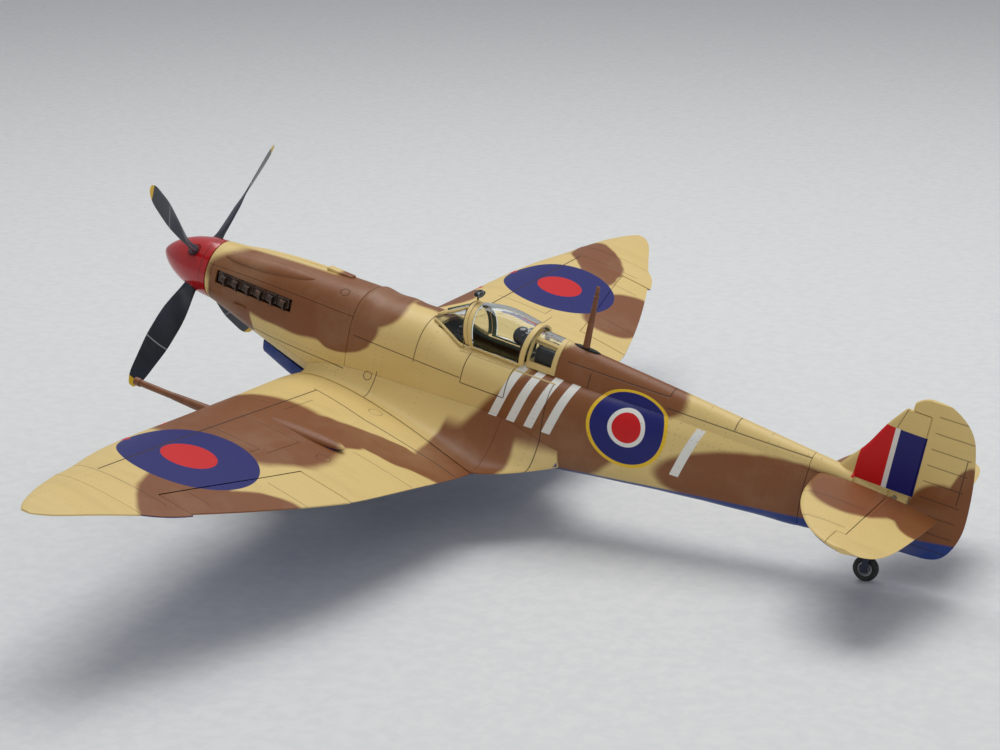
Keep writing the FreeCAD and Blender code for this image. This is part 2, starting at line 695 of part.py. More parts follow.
def make_wings():
    gap = size("control_gap")
    stations = spread(size("wing_root"), TIP_JOINT - size("seam"), 8)
    low, high, low_radius, high_radius = aileron_axis()
    along = (high - low).normalize()
    bed_low = low - along * gap * 1.7
    bed_high = high + along * gap * 1.7
    aft = aft_of_hinge(bed_low, bed_high)
    trough = rod(bed_low, bed_high, low_radius + gap, high_radius + gap)
    gun = gun_line()
    socket = rod(gun[0], gun[1], size("gun_radius") + 0.75)
    upper = loft([wing_shell(y, 1) for y in stations])
    blister = gun_blister()
    upper = upper.cut(aft).cut(trough)
    under_skin = loft([wing_section(y) for y in stations[1:5]])
    under_skin.translate(Vector(0, 0, -0.4 * size("wing_skin")))
    upper = upper.fuse(blister.cut(under_skin))
    upper = upper.cut(socket)
    upper.translate(Vector(0, 0, 0.04))
    keep("wing_upper_right", upper)
    keep("wing_upper_left", mirrored(upper))

    lower = loft([wing_shell(y, -1) for y in stations]).cut(aft).cut(trough).cut(socket)
    flap_in, flap_out = flap_line()
    bay = plan_prism([(flap_in.x, flap_in.y), (flap_in.x + 60, flap_in.y),
                      (flap_out.x + 60, flap_out.y), (flap_out.x, flap_out.y)])
    lower = lower.cut(bay)
    well_x, well_y = size("leg_x") + 1.0, size("leg_y") + 33.0
    well = Part.makeCylinder(size("tyre_radius") + 0.6, 12, Vector(well_x, well_y, -30))
    slot = block((size("leg_x") - 4.4, size("leg_y") - 2.4, -40), (size("leg_x") + 2.2, well_y, -14))
    lower = lower.cut(well).cut(slot)
    lower.translate(Vector(0, 0, -0.04))
    belly_y = size("wing_root") + 0.01
    belly = loft([wing_shell(size("wing_root"), -1).translated(Vector(0, y - size("wing_root"), 0))
                  for y in (-belly_y, belly_y)], True)
    belly = belly.cut(block((0, -20, -60), (FIREWALL + 0.2, 20, 0)))
    belly = belly.cut(block((PILOT_FRAME - 0.3, -20, -60), (PILOT_FRAME + 60, 20, 0)))
    belly.translate(Vector(0, 0, -0.04))
    keep("wing_lower", lower.fuse([belly, mirrored(lower)]))

    tips = [TIP_JOINT + size("seam")] + [size("semi_span") * share
                                         for share in (0.885, 0.92, 0.955, 0.98, 0.998)]
    tip = loft([wing_section(y) for y in tips])
    keep("wing_tip_right", tip)
    keep("wing_tip_left", mirrored(tip))

    ends = [low.y, 0.5 * (low.y + high.y), high.y]
    blade = loft([wing_section(y) for y in ends])
    blade = blade.common(aft_of_hinge(low, high))
    aileron = blade.fuse(rod(low, high, low_radius, high_radius))
    keep("aileron_right", aileron)
    keep("aileron_left", mirrored(aileron))
    make_flaps(flap_in, flap_out)


def make_flaps(flap_in, flap_out):
    """Split flaps: thin plates that close the underside ahead of the trailing edge."""
    wires = []
    gap = size("control_gap")
    for across in spread(flap_in.y + gap, flap_out.y - gap, 4):
        front, rear = wing_edges(across)
        lead = front + size("flap_share") * (rear - front) + gap
        points = [lead, 0.5 * (lead + rear), rear - 0.3]
        under = [Vector(x, across, wing_z(across, x, -1)) for x in points]
        over = [p + Vector(0, 0, t) for p, t in zip(under, (size("flap_thick"), 0.5, 0.18))]
        wires.append(ring(under, over[::-1]))
    flap = loft(wires)
    keep("flap_right", flap)
    keep("flap_left", mirrored(flap))


# ---------------------------------------------------------------- guns
def gun_height():
    front = wing_edges(size("gun_y"))[0]
    return wing_z(size("gun_y"), front, 0)


def gun_line():
    """Socket of the cannon in the leading edge: its mouth and its foot."""
    front = wing_edges(size("gun_y"))[0]
    return (front - 4, size("gun_y"), gun_height()), (front + 5.0, size("gun_y"), gun_height())


def gun_blister():
    """Long low fairing over the cannon's feed, on the upper surface."""
    across = size("gun_y") - 2.5
    middle = SPAR_X + 17.0
    stretch = FreeCAD.Matrix()
    stretch.scale(15.5, 3.6, 2.0)
    bump = Part.makeSphere(1.0).transformGeometry(stretch)
    bump.translate(Vector(middle, across, wing_z(across, middle, 1) - 0.35))
    return bump


def make_guns():
    front = wing_edges(size("gun_y"))[0]
    height = gun_height()
    across = size("gun_y")
    thin, thick = size("gun_radius"), size("gun_radius") + 0.7
    muzzle = front - size("gun_reach")
    barrel = fused([
        rod((muzzle, across, height), (muzzle + 2.2, across, height), thin + 0.25),
        rod((muzzle + 2.2, across, height), (front - 13, across, height), thin),
        rod((front - 13, across, height), (front + 4.6, across, height), thin + 0.1, thick)])
    barrel = barrel.cut(rod((muzzle - 1, across, height), (muzzle + 4, across, height), 0.6))
    keep("cannon_right", barrel)
    keep("cannon_left", mirrored(barrel))


# ---------------------------------------------------------------- radiators
def make_radiators():
    """Boxy ducts under each wing, open at the mouth and the outlet."""
    for name, flip in (("radiator_right", 1), ("radiator_left", -1)):
        middle = 0.5 * (flap_line()[0].y + 40.0)
        front = SPAR_X + 7.0
        rear = flap_line()[0].x - 3.0
        top = wing_z(middle, front, -1) + 0.3
        shape = plan_prism([(front, middle - 9), (rear, middle - 9),
                            (rear, middle + 9), (front, middle + 9)], top - 7.0, top + 4.0)
        shape = shape.cut(loft([wing_section(y) for y in (middle - 14, middle, middle + 14)])
                          .translated(Vector(0, 0, -0.15)))
        keepers = [part for part in shape.Solids if part.BoundBox.ZMin < top - 6]
        shape = keepers[0]
        mouth = block((front - 1, middle - 7.8, top - 6.0), (front + 5.0, middle + 7.8, top - 1.6))
        outlet = block((rear - 4.0, middle - 7.8, top - 6.0), (rear + 1, middle + 7.8, top - 1.8))
        shape = shape.cut(mouth).cut(outlet)
        keep(name, shape if flip > 0 else mirrored(shape))


# ---------------------------------------------------------------- fuselage halves
def hull_solid(stations, inset=0.0):
    """The closed body of the fuselage between stations, drawn in by an inset."""
    wires = []
    for x in stations:
        side = [hull_point(x, a, inset) for a in spread(90, -90, 15)]
        port = [Vector(p.x, -p.y, p.z) for p in side[1:-1]]
        wires.append(ring(side, [side[-1]] + port[::-1] + [side[0]]))
    return loft(wires)


def make_fuselage():
    wall = size("skin")
    seam = size("seam")
    front_x = FIREWALL + seam
    spine_x = PILOT_FRAME + 12.0
    rear_x = TAIL_JOINT - seam
    ahead = spread(FIREWALL, PILOT_FRAME, 13)[1:-1]
    behind = spread(PILOT_FRAME, TAIL_JOINT, 12)[:-1]
    outer = hull_solid([front_x] + ahead + behind + [rear_x])
    inner = hull_solid([front_x - 1] + ahead + behind + [rear_x + 1], wall)
    ridge = loft([spine_section(x) for x in spread(spine_x, rear_x, 6)])
    hollow = loft([spine_section(x, 1.3, 4.5) for x in spread(spine_x + 2.0, rear_x + 1, 6)])
    whole = outer.fuse(ridge).cut(inner).cut(hollow)
    wing_bay = block((FIREWALL - 1, -20, -60), (PILOT_FRAME - 0.2, 20, size("wing_height") + 5.3))
    whole = whole.cut(wing_bay)
    whole = whole.cut(block((FIREWALL + 29.5, -7.0, 0), (PILOT_FRAME - 0.6, 7.0, 40)))
    stud = rod((MAST_X, 0, spine_top(MAST_X) - 4), (MAST_X, 0, 40), 0.62)
    whole = whole.cut(stud)
    half = whole.cut(block((0, -30, -60), (400, 0.03, 60)))
    port = whole.cut(block((0, -0.03, -60), (400, 30, 60)))
    keep("fuselage_right", half)
    keep("fuselage_left", port.cut(door_block(0.0)))


def door_block(gap):
    """The space of the port entry door: a flap of skin below the hood rail."""
    low_x = PILOT_FRAME - 17.6 + gap
    high_x = PILOT_FRAME - 1.4 - gap
    return block((low_x, -20, -1.8 + gap), (high_x, -7.0 - gap, 12))


def make_door():
    wall = size("skin")
    skin = mirrored(panel(spread(PILOT_FRAME - 20, PILOT_FRAME, 5), -20, 88, wall))
    keep("cockpit_door", skin.common(door_block(0.12)))


def fillet_rows():
    """Station, toe distance from the centre line and height on the fuselage side."""
    front = size("wing_front")
    chord = size("root_chord")
    return [(front + share * chord, toe, height) for share, toe, height in (
        (0.055, 14.6, -16.8), (0.11, 15.6, -14.6), (0.18, 16.6, -12.8), (0.28, 17.8, -11.4),
        (0.40, 19.4, -10.6), (0.55, 21.8, -9.8), (0.70, 24.4, -9.0), (0.83, 26.8, -8.4),
        (0.93, 28.4, -8.2), (0.995, 29.0, -8.4))]


def side_stroke(x, high, low, count=5):
    """A stroke just clear of the fuselage side between two heights."""
    return [Vector(x, hull_width(x, z) + 0.1, z) for z in spread(high, low, count)]


def hollow_curve(top, toe, count=7):
    """Concave stroke from the fuselage side out to the toe."""
    points = []
    for i in range(count):
        share = i / (count - 1.0)
        across = top.y + (toe.y - top.y) * share
        drop = 1 - (1 - share) ** 2.6
        points.append(Vector(top.x, across, top.z + (toe.z - top.z) * drop))
    return points


def make_fillets():
    root = size("wing_root")
    clear = 0.14
    wires = []
    for x, toe_y, height in fillet_rows():
        corner_z = wing_z(root, x, 1) + clear
        toe = Vector(x, toe_y, wing_z(toe_y, x, 1) + clear)
        rim = Vector(x, toe_y, toe.z + 0.14)
        side = side_stroke(x, height, corner_z)
        wires.append(ring(side, [toe], [toe, rim], hollow_curve(side[0], rim)[::-1]))
    front = loft(wires)
    wires = []
    last_x, last_toe, last_height = fillet_rows()[-1]
    reach = 20.5
    for share in (0.0, 0.25, 0.5, 0.75, 1.0):
        x = last_x + 0.1 + share * reach
        edge = last_toe - (last_toe - hull_width(x, -20.5) - 1.0) * share ** 1.5
        level = wing_z(last_toe, last_x, 1) + clear + 3.2 * share
        high = last_height - 5.4 * share
        low = table(HULL, x, 4) + 3.4
        side = side_stroke(x, high, low)
        toe = Vector(x, edge, level - 0.25)
        rim = Vector(x, edge, level + 0.15)
        wires.append(ring(side, [toe], [toe, rim], hollow_curve(side[0], rim)[::-1]))
    rear = loft(wires)
    keep("fillet_right", Part.makeCompound([front, rear]))
    keep("fillet_left", mirrored(Part.makeCompound([front, rear])))


# ---------------------------------------------------------------- tail
TAILPLANE = [  # share of the half span, leading and trailing edge from the elevator hinge
    (0.00, -25.0, 15.9), (0.40, -22.4, 15.7), (0.62, -18.6, 15.0), (0.80, -13.2, 13.9),
    (0.92, -7.6, 12.0), (0.975, -3.2, 9.4), (1.00, 1.0, 5.4)]
FIN_EDGE = [  # height, leading edge and trailing edge from the rudder hinge
    (-8.4, -8.0, 7.0), (-7.0, -9.0, 11.6), (-4.0, -14.0, 14.6), (1.0, -20.0, 16.7),
    (6.0, -26.0, 17.5), (12.5, -24.4, 17.4), (20.5, -18.4, 16.7), (28.8, -13.8, 15.2),
    (36.6, -8.4, 11.6), (39.8, -5.6, 7.6), (41.4, -2.6, 4.4)]


def leaf_section(centre, front, rear, half, upright):
    """A thin symmetrical section, lying flat or standing on end."""
    chord = rear - front
    one, other = [], []
    for i in range(11):
        share = 0.5 * (1 - math.cos(math.pi * i / 10.0))
        swell = half * (half_thickness(share, 0.5) / 0.25 + 0.08) if i else 0.0
        x = front + share * chord
        for sign, stroke in ((1, one), (-1, other)):
            step = Vector(0, sign * swell, 0) if upright else Vector(0, 0, sign * swell)
            stroke.append(Vector(x, 0, 0) + centre + step)
    return Part.Wire([curve(one), line(one[-1], other[-1]), curve(other[::-1])])


def tail_half_thickness(across):
    return 0.5 * size("tail_thick") * (1 - 0.62 * across / size("tail_span"))


def fin_half_thickness(height):
    return 0.5 * size("fin_thick") * (1 - 0.45 * max(height, 0.0) / 41.4)


def make_tailplane():
    hinge = ELEVATOR_X
    span = size("tail_span")
    height = size("tail_height")
    gap = size("control_gap")
    root = 4.9
    wires = []
    for across in [root] + [span * s for s in (0.4, 0.62, 0.8, 0.92, 0.975, 0.998)]:
        share = across / span
        front, rear = hinge + table(TAILPLANE, share, 1), hinge + table(TAILPLANE, share, 2)
        centre = Vector(0, across, height)
        wires.append(leaf_section(centre, front, rear, tail_half_thickness(across), False))
    leaf = loft(wires)
    horn_y = 0.81 * span
    horn_x = hinge - 3.4
    low = Vector(hinge, root, height)
    high = Vector(hinge, horn_y, height)
    radii = tail_half_thickness(root) * 0.93, tail_half_thickness(horn_y) * 0.93
    aft = plan_prism([(hinge, 0), (hinge + 60, 0), (hinge + 60, horn_y), (hinge, horn_y)])
    horn = plan_prism([(horn_x, horn_y), (hinge + 60, horn_y), (hinge + 60, 90), (horn_x, 90)])
    horn_gap = plan_prism([(horn_x - gap, horn_y - gap), (hinge + 60, horn_y - gap),
                           (hinge + 60, 90), (horn_x - gap, 90)])
    trough = rod(low - Vector(0, 1, 0), high, radii[0] + gap, radii[1] + gap)
    fixed = leaf.cut(aft).cut(trough).cut(horn_gap)
    keep("tailplane_right", fixed)
    keep("tailplane_left", mirrored(fixed))
    moving = leaf.common(aft.fuse(horn)).fuse(rod(low, high, radii[0], radii[1]))
    notch = plan_prism([(hinge + 2.2, 0), (hinge + 60, 0), (hinge + 60, 11.5), (hinge + 8, 5.4)])
    moving = moving.cut(notch)
    drill = rod(low - Vector(0, 1, 0), low + Vector(0, 3.0, 0), size("tube_radius") + 0.02)
    moving = moving.cut(drill)
    keep("elevator_right", moving)
    keep("elevator_left", mirrored(moving))
    tube = doc.addObject("Part::Cylinder", "elevator_tube")
    tube.setExpression("Radius", bound("tube_radius"))
    tube.Height = 2 * (root + 2.9)
    local = Placement(Vector(hinge, -(root + 2.9), height), Rotation(Vector(1, 0, 0), -90))
    claim("elevator_tube", tube, local)


def make_fin():
    hinge = RUDDER_X
    gap = size("control_gap")
    top = size("rudder_top")
    wires = []
    for height in (-8.3, -7.0, -4.0, 1.0, 6.0, 12.5, 20.5, 28.8, top, 39.8, 41.3):
        front, rear = hinge + table(FIN_EDGE, height, 1), hinge + table(FIN_EDGE, height, 2)
        centre = Vector(0, 0, height)
        wires.append(leaf_section(centre, front, rear, fin_half_thickness(height), True))
    leaf = loft(wires)
    foot, crown = Vector(hinge, 0, -8.1), Vector(hinge, 0, top + 0.8)
    radii = fin_half_thickness(foot.z) * 0.9, fin_half_thickness(top) * 0.9
    aft = block((hinge, -20, -30), (hinge + 60, 20, 60))
    horn = block((hinge - 6.5, -20, top), (hinge + 60, 20, 60))
    horn_gap = block((hinge - 60, -20, top - 0.35), (hinge + 60, 20, 60))
    trough = rod(foot - Vector(0, 0, 0.5), crown, radii[0] + gap, radii[1] + gap)
    moving = leaf.common(aft.fuse(horn)).fuse(rod(foot, crown, radii[0], radii[1]))
    keep("rudder", moving)
    fin = leaf.cut(aft).cut(trough).cut(horn_gap)
    fin = fin.common(block((hinge - 60, -20, 3.0), (hinge, 20, 60)))
    front_x = TAIL_JOINT + size("seam")
    rear_x = hinge - radii[0] - gap - 0.1
    tail_points = [spread(front_x, rear_x, 5)]
    cone = loft([ring(both_sides([hull_point(x, a) for a in spread(90, -90, 15)])[:-1])
                 for x in tail_points[0]])
    ridge = loft([spine_section(x) for x in spread(front_x, front_x + 14, 4)])
    cavity = loft([ring(both_sides([hull_point(x, a, size("skin")) for a in spread(90, -90, 15)])[:-1])
                   for x in spread(front_x - 0.5, front_x + 10, 3)])
    unit = fused([cone, ridge, fin]).cut(cavity)
    slit = block((ELEVATOR_X - 2.6, -20, size("tail_height") - 2.6),
                 (hinge + 1, 20, size("tail_height") + 2.6))
    for side in (-1, 1):
        unit = unit.cut(block((ELEVATOR_X - 2.4, side * 12 - 11.4, size("tail_height") - 2.2),
                              (hinge + 1, side * 12 + 11.4, size("tail_height") + 2.2)))
    unit = unit.cut(rod((ELEVATOR_X, -20, size("tail_height")), (ELEVATOR_X, 20, size("tail_height")),
                        size("tube_radius") + size("shaft_play")))
    roots = loft([leaf_section(Vector(0, y, size("tail_height")),
                               ELEVATOR_X - 25.2, ELEVATOR_X + 15.9,
                               tail_half_thickness(4.9) + 0.12, False) for y in (4.8, 12)])
    unit = unit.cut(roots).cut(mirrored(roots))
    swivel_x = TAIL_AXLE_X - size("castor_trail")
    unit = unit.cut(rod((swivel_x, 0, -30), (swivel_x, 0, -4), 1.3))
    keep("tail_unit", unit)


# ---------------------------------------------------------------- undercarriage
def leg_ends():
    """Starboard leg: pivot in the wing and foot at the axle."""
    top = Vector(size("leg_x"), size("leg_y"), wing_z(size("leg_y"), size("leg_x"), -1) + 2.6)
    foot = Vector(size("wheel_x"), size("wheel_y") - 4.6, -size("wheel_drop"))
    return top, foot


def leg_face(top):
    """Distance from the centre line at which the leg's cover starts."""
    return top.y + size("leg_radius") + 1.6


def make_legs():
    top, foot = leg_ends()
    along = foot - top
    knee = top + along * 0.62
    stub_axle = foot + Vector(0, 7.4, 0)
    upper = rod(top, knee, size("leg_radius"))
    ram = rod(knee, foot, size("ram_radius"))
    pintle = rod(top - Vector(0, 1.9, 0), top + Vector(0, 1.9, 0), 1.5)
    axle = rod(foot - Vector(0, 1.0, 0), stub_axle, size("axle_radius"))
    boss = rod(foot - Vector(0, 1.2, 0), foot + Vector(0, 1.3, 0), 1.5)
    collar = rod(knee - along * 0.03, knee + along * 0.02, size("leg_radius") + 0.35)
    leg = fused([upper, ram, pintle, axle, boss, collar])
    keep("gear_leg_right", leg)
    keep("gear_leg_left", mirrored(leg))
    outward = Vector(0, 1, 0)
    forward = Vector(1, 0, 0)
    high_z, low_z = top.z - 3.8, foot.z + 2.2
    clear_y = size("wheel_y") + size("tyre_width") / 2 + 1.2
    rows = [  # share of the drop, share of the way out to the wheel's face, ahead, behind
        (0.00, 0.00, 3.4, 5.0), (0.25, 0.42, 3.7, 5.2), (0.50, 0.86, 4.4, 5.8),
        (0.65, 1.00, 5.2, 6.6), (1.00, 1.06, 4.6, 6.0)]
    wires = []
    for share, out, ahead, behind in rows:
        height = high_z + (low_z - high_z) * share
        base = top + along * ((height - top.z) / along.z)
        base.y = leg_face(top) + (clear_y - leg_face(top)) * out
        outer = [base - forward * ahead, base + outward * 0.6, base + forward * behind]
        wires.append(ring(outer, [p - outward * 0.6 for p in reversed(outer)]))
    door = loft(wires)
    for share in (0.25, 0.52):
        start = top + along * share
        start.y += size("leg_radius") + 0.1
        reach = table([(r[0], r[1]) for r in rows], (high_z - start.z) / (high_z - low_z), 1)
        stop = Vector(start)
        stop.y = leg_face(top) + (clear_y - leg_face(top)) * reach + 0.1
        door = door.fuse(rod(start, stop, 0.5))
    keep("gear_door_right", door)
    keep("gear_door_left", mirrored(door))


def make_wheels():
    for name, flip in (("right", 1), ("left", -1)):
        place = Placement(Vector(size("wheel_x"), flip * size("wheel_y"), -size("wheel_drop")),
                          Rotation())
        hub = new_body("main_wheel_" + name)
        face = "tyre_width/2"
        turned(hub, "YZ_Plane", [
            ("-(%s)-0.1" % face, "axle_radius+shaft_play"), ("%s+0.1" % face, "axle_radius+shaft_play"),
            ("%s+0.1" % face, "2.2"), ("%s-0.9" % face, "2.6"), ("%s-1.1" % face, "rim_radius-1"),
            ("%s-0.2" % face, "rim_radius-0.5"), ("%s-0.2" % face, "rim_radius"),
            ("-(%s)+0.2" % face, "rim_radius"), ("-(%s)+0.2" % face, "rim_radius-0.5"),
            ("-(%s)+1.1" % face, "rim_radius-1"), ("-(%s)+0.9" % face, "2.6"),
            ("-(%s)-0.1" % face, "2.2")], "H_Axis")
        claim("main_wheel_" + name, hub, place)
        tyre = new_body("main_tyre_" + name)
        turned(tyre, "YZ_Plane", [
            ("-(%s)+0.3" % face, "rim_radius"), ("%s-0.3" % face, "rim_radius"),
            ("%s" % face, "rim_radius+1"), ("%s" % face, "tyre_radius-1.6"),
            ("%s-0.5" % face, "tyre_radius-0.6"), ("%s-1.4" % face, "tyre_radius"),
            ("-(%s)+1.4" % face, "tyre_radius"), ("-(%s)+0.5" % face, "tyre_radius-0.6"),
            ("-(%s)" % face, "tyre_radius-1.6"), ("-(%s)" % face, "rim_radius+1")], "H_Axis")
        claim("main_tyre_" + name, tyre, place)


def make_tail_wheel():
    swivel_x = TAIL_AXLE_X - size("castor_trail")
    drop = size("tail_wheel_drop")
    crown = -drop + size("tail_tyre_radius") + 0.45
    keel = table(HULL, swivel_x, 4)
    sleeve = rod((swivel_x, 0, crown + 1.25), (swivel_x, 0, keel + 5.5), 1.25)
    sleeve = sleeve.cut(rod((swivel_x, 0, -30), (swivel_x, 0, keel + 3.6),
                            size("swivel_radius") + size("shaft_play")))
    keep("tail_strut", sleeve)
    half = size("tail_tyre_width") / 2 + 0.3
    axle_x = TAIL_AXLE_X
    crown_plate = block((swivel_x - 1.4, -half - 0.7, crown), (axle_x + 1.0, half + 0.7, crown + 0.9))
    arms = []
    for side in (-1, 1):
        low = min(side * half, side * (half + 0.7))
        arms.append(block((axle_x - 1.0, low, -drop - 0.9), (axle_x + 1.0, low + 0.7, crown + 0.5)))
    pin = rod((swivel_x, 0, crown + 0.4), (swivel_x, 0, keel + 3.2), size("swivel_radius"))
    axle = rod((axle_x, -half - 0.6, -drop), (axle_x, half + 0.6, -drop), size("tail_axle_radius"))
    keep("tail_fork", fused([crown_plate, pin, axle] + arms))
    wheel = new_body("tail_wheel")
    turned(wheel, "YZ_Plane", [
        ("-tail_tyre_width/2", "tail_axle_radius+shaft_play"),
        ("tail_tyre_width/2", "tail_axle_radius+shaft_play"),
        ("tail_tyre_width/2", "tail_tyre_radius-1"), ("tail_tyre_width/2-0.7", "tail_tyre_radius"),
        ("-tail_tyre_width/2+0.7", "tail_tyre_radius"), ("-tail_tyre_width/2", "tail_tyre_radius-1")],
        "H_Axis")
    claim("tail_wheel", wheel, Placement(Vector(axle_x, 0, -drop), Rotation()))


# ---------------------------------------------------------------- cockpit glazing
HOOD = [  # x ahead of the pilot's frame, crown height, lean of the section plane
    (-19.4, 21.3, -0.27), (-15.5, 22.5, -0.18), (-11.0, 23.2, -0.08), (-6.0, 22.8, 0.0),
    (-2.2, 21.8, 0.06), (0.9, 21.4, 0.08)]


def arch(x, crown, lean, width, base, inset=0.0, spring=13.0):
    """An arch over the cockpit, standing in a plane that may lean fore or aft."""
    width = width - inset
    crown = crown - inset
    tuck = 25.0
    fall = (spring - base) / math.sin(math.radians(tuck))
    points = []
    for a in spread(-tuck, 180 + tuck, 19):
        turn = math.radians(a)
        rise = math.sin(turn)
        z = spring + rise * ((crown - spring) if rise > 0 else fall)
        points.append(Vector(x + lean * (z - base), width * math.cos(turn), z))
    return points


def arch_shell(rows, width, base, wall, spring=13.0):
    wires = []
    for x, crown, lean in rows:
        outer = arch(x, crown, lean, width, base, 0.0, spring)
        inner = arch(x, crown, lean, width, base, wall, spring)
        wires.append(ring(outer, inner[::-1]))
    return loft(wires)


def hood_rows(start, stop, count):
    xs = spread(start, stop, count)
    return [(PILOT_FRAME + x, table(HOOD, x, 1), table(HOOD, x, 2)) for x in xs]


def make_hood():
    wall = size("hood_wall")
    base = size("sill_height")
    width = size("hood_width")
    keep("hood_glass", arch_shell(hood_rows(-17.9, -0.8, 6), width, base + 0.1, wall))
    bow = arch_shell(hood_rows(-19.4, -18.0, 2), width + 0.05, base, wall)
    hoop = arch_shell(hood_rows(-0.7, 0.9, 2), width + 0.15, base, wall)
    rails = []
    rail_y = width * math.cos(math.radians(25.0))
    for side in (-1, 1):
        low = min(side * (rail_y - wall), side * (rail_y + 0.25))
        rails.append(block((PILOT_FRAME - 19.4, low, base - 0.55),
                           (PILOT_FRAME + 0.9, low + wall + 0.25, base + 0.02)))
    keep("hood_frame", fused([bow, hoop] + rails))


def make_windscreen():
    foot_x = FIREWALL + 26.6
    bow_x = PILOT_FRAME - 21.0
    base = size("sill_height")
    wall = 0.7
    crown = 21.2
    bow_rows = [(bow_x, crown, -0.27), (bow_x + 1.3, crown + 0.1, -0.27)]
    bow = arch_shell(bow_rows, size("hood_width") - 0.1, base, wall)
    wires = []
    front_top = hull_height(foot_x, 0) + 0.7
    rows = [(0.0, front_top, 4.9), (0.35, front_top + 3.0, 6.3), (0.7, crown - 2.3, 7.8),
            (1.0, crown, size("hood_width") - 0.1)]
    for share, top, width in rows:
        x = foot_x + (bow_x - 0.05 - foot_x) * share
        lean = -0.27 * share
        low = max(hull_height(x, width) + 0.22, hull_height(x, width - wall) + 0.05)
        outer = pane_arch(x, top, lean, width, low, 0.0)
        inner = pane_arch(x, top, lean, width, low, wall)
        wires.append(ring(outer, inner[::-1]))
    keep("windscreen_glass", loft(wires))
    posts = []
    for side in (-1, 1):
        posts.append(rod((foot_x + 0.2, side * 3.3, front_top + 0.35),
                         (bow_x - 2.9, side * 4.1, crown - 1.05), 0.42))
    mirror = rod((bow_x - 2.4, 0, crown + 0.0), (bow_x - 2.4, 0, crown + 2.6), 0.35)
    stretch = FreeCAD.Matrix()
    stretch.scale(1.1, 2.6, 1.15)
    case = Part.makeSphere(1.0).transformGeometry(stretch)
    case.translate(Vector(bow_x - 2.4, 0, crown + 3.2))
    keep("windscreen_frame", fused([bow, mirror, case] + posts))


def pane_arch(x, top, lean, width, low, inset):
    """Section of the windscreen: a flat-topped arch standing on the fuselage."""
    width, top = width - inset, top - inset
    points = []
    for a in spread(0, 180, 17):
        turn = math.radians(a)
        across = math.copysign(abs(math.cos(turn)) ** 0.8, math.cos(turn))
        z = low + (top - low) * math.sin(turn) ** 0.75
        points.append(Vector(x + lean * (z - low), width * across, z))
    return points


def make_rear_glazing():
    start, stop = PILOT_FRAME + 1.2, PILOT_FRAME + 11.9
    wires = []
    for x in spread(start, stop, 4):
        top = spine_top(x)
        base = hull_height(x, spine_width(x) - 0.8) + 0.22
        outer, inner = [], []
        for inset, stroke in ((0.0, outer), (0.8, inner)):
            for a in spread(0, 180, 15):
                turn = math.radians(a)
                rise = math.sin(turn) ** 0.85
                stroke.append(Vector(x, (spine_width(x) - inset) * math.cos(turn),
                                     base + (top - inset - base) * rise))
        wires.append(ring(outer, inner[::-1]))
    keep("rear_glazing", loft(wires))


# ---------------------------------------------------------------- cockpit
def make_cockpit():
    floor_z = size("wing_height") + 9.0
    floor = new_body("cockpit_floor")
    pad(floor, "XY_Plane", [("0", "-9.3"), ("cabin_length-2.6", "-9.3"),
                            ("cabin_length-2.6", "9.3"), ("0", "9.3")], "1")
    claim("cockpit_floor", floor, Placement(Vector(FIREWALL + 1.3, 0, floor_z), Rotation()))
    deck = floor_z + 1.0
    seat_x = PILOT_FRAME - 12.5
    pan = block((seat_x, -5.0, deck + 2.2), (seat_x + 8.5, 5.0, deck + 6.2))
    pan = pan.cut(block((seat_x - 1, -4.3, deck + 3.0), (seat_x + 7.7, 4.3, deck + 9)))
    back = block((seat_x + 7.7, -5.0, deck + 2.2), (seat_x + 8.5, 5.0, deck + 14.5))
    legs = [rod((seat_x + 5.0, y, deck), (seat_x + 5.0, y, deck + 2.6), 0.8) for y in (-3, 3)]
    keep("seat", fused([pan, back] + legs))
    plate_x = PILOT_FRAME - 2.6
    plate = block((plate_x, -5.2, deck + 0.05), (plate_x + 1.0, 5.2, 15.0))
    crown = rod((plate_x, 0, 14.2), (plate_x + 1.0, 0, 14.2), 4.9)
    rest = Part.makeSphere(3.2, Vector(plate_x - 2.2, 0, 15.4))
    neck = rod((plate_x - 1.5, 0, 15.2), (plate_x + 0.5, 0, 15.2), 1.2)
    keep("armour_headrest", fused([plate, crown, rest, neck]))
    panel_x = FIREWALL + 33.0
    board = new_body("instrument_panel")
    pad(board, "YZ_Plane", [("-12.2", "-3"), ("12.2", "-3"), ("11.2", "4.6"), ("6.6", "8.6"),
                            ("-6.6", "8.6"), ("-11.2", "4.6")], "1")
    sketch = board.newObject("Sketcher::SketchObject", "instrument_holes")
    sketch.AttachmentSupport = (origin_part(board, "YZ_Plane"), [""])
    sketch.MapMode = "FlatFace"
    for across in (-5.0, -1.7, 1.7, 5.0):
        for up in (2.4, 5.4):
            sketch.addGeometry(Part.Circle(Vector(across, up, 0), Vector(0, 0, 1), 1.15), False)
    holes = board.newObject("PartDesign::Pocket", "instrument_pocket")
    holes.Profile = sketch
    holes.Length = 0.5
    holes.Reversed = True
    doc.recompute()
    board.Tip = holes
    claim("instrument_panel", board, Placement(Vector(panel_x, 0, -0.3), Rotation()))
    stick_x = seat_x - 5.5
    stick = fused([rod((stick_x, 0, deck + 1.4), (stick_x, 0, deck + 11.5), 0.55),
                   rod((stick_x, -1.6, deck + 1.4), (stick_x, 1.6, deck + 1.4), 0.95),
                   Part.makeTorus(1.5, 0.4, Vector(stick_x, 0, deck + 13.0), Vector(1, 0, 0))])
    keep("control_column", stick)


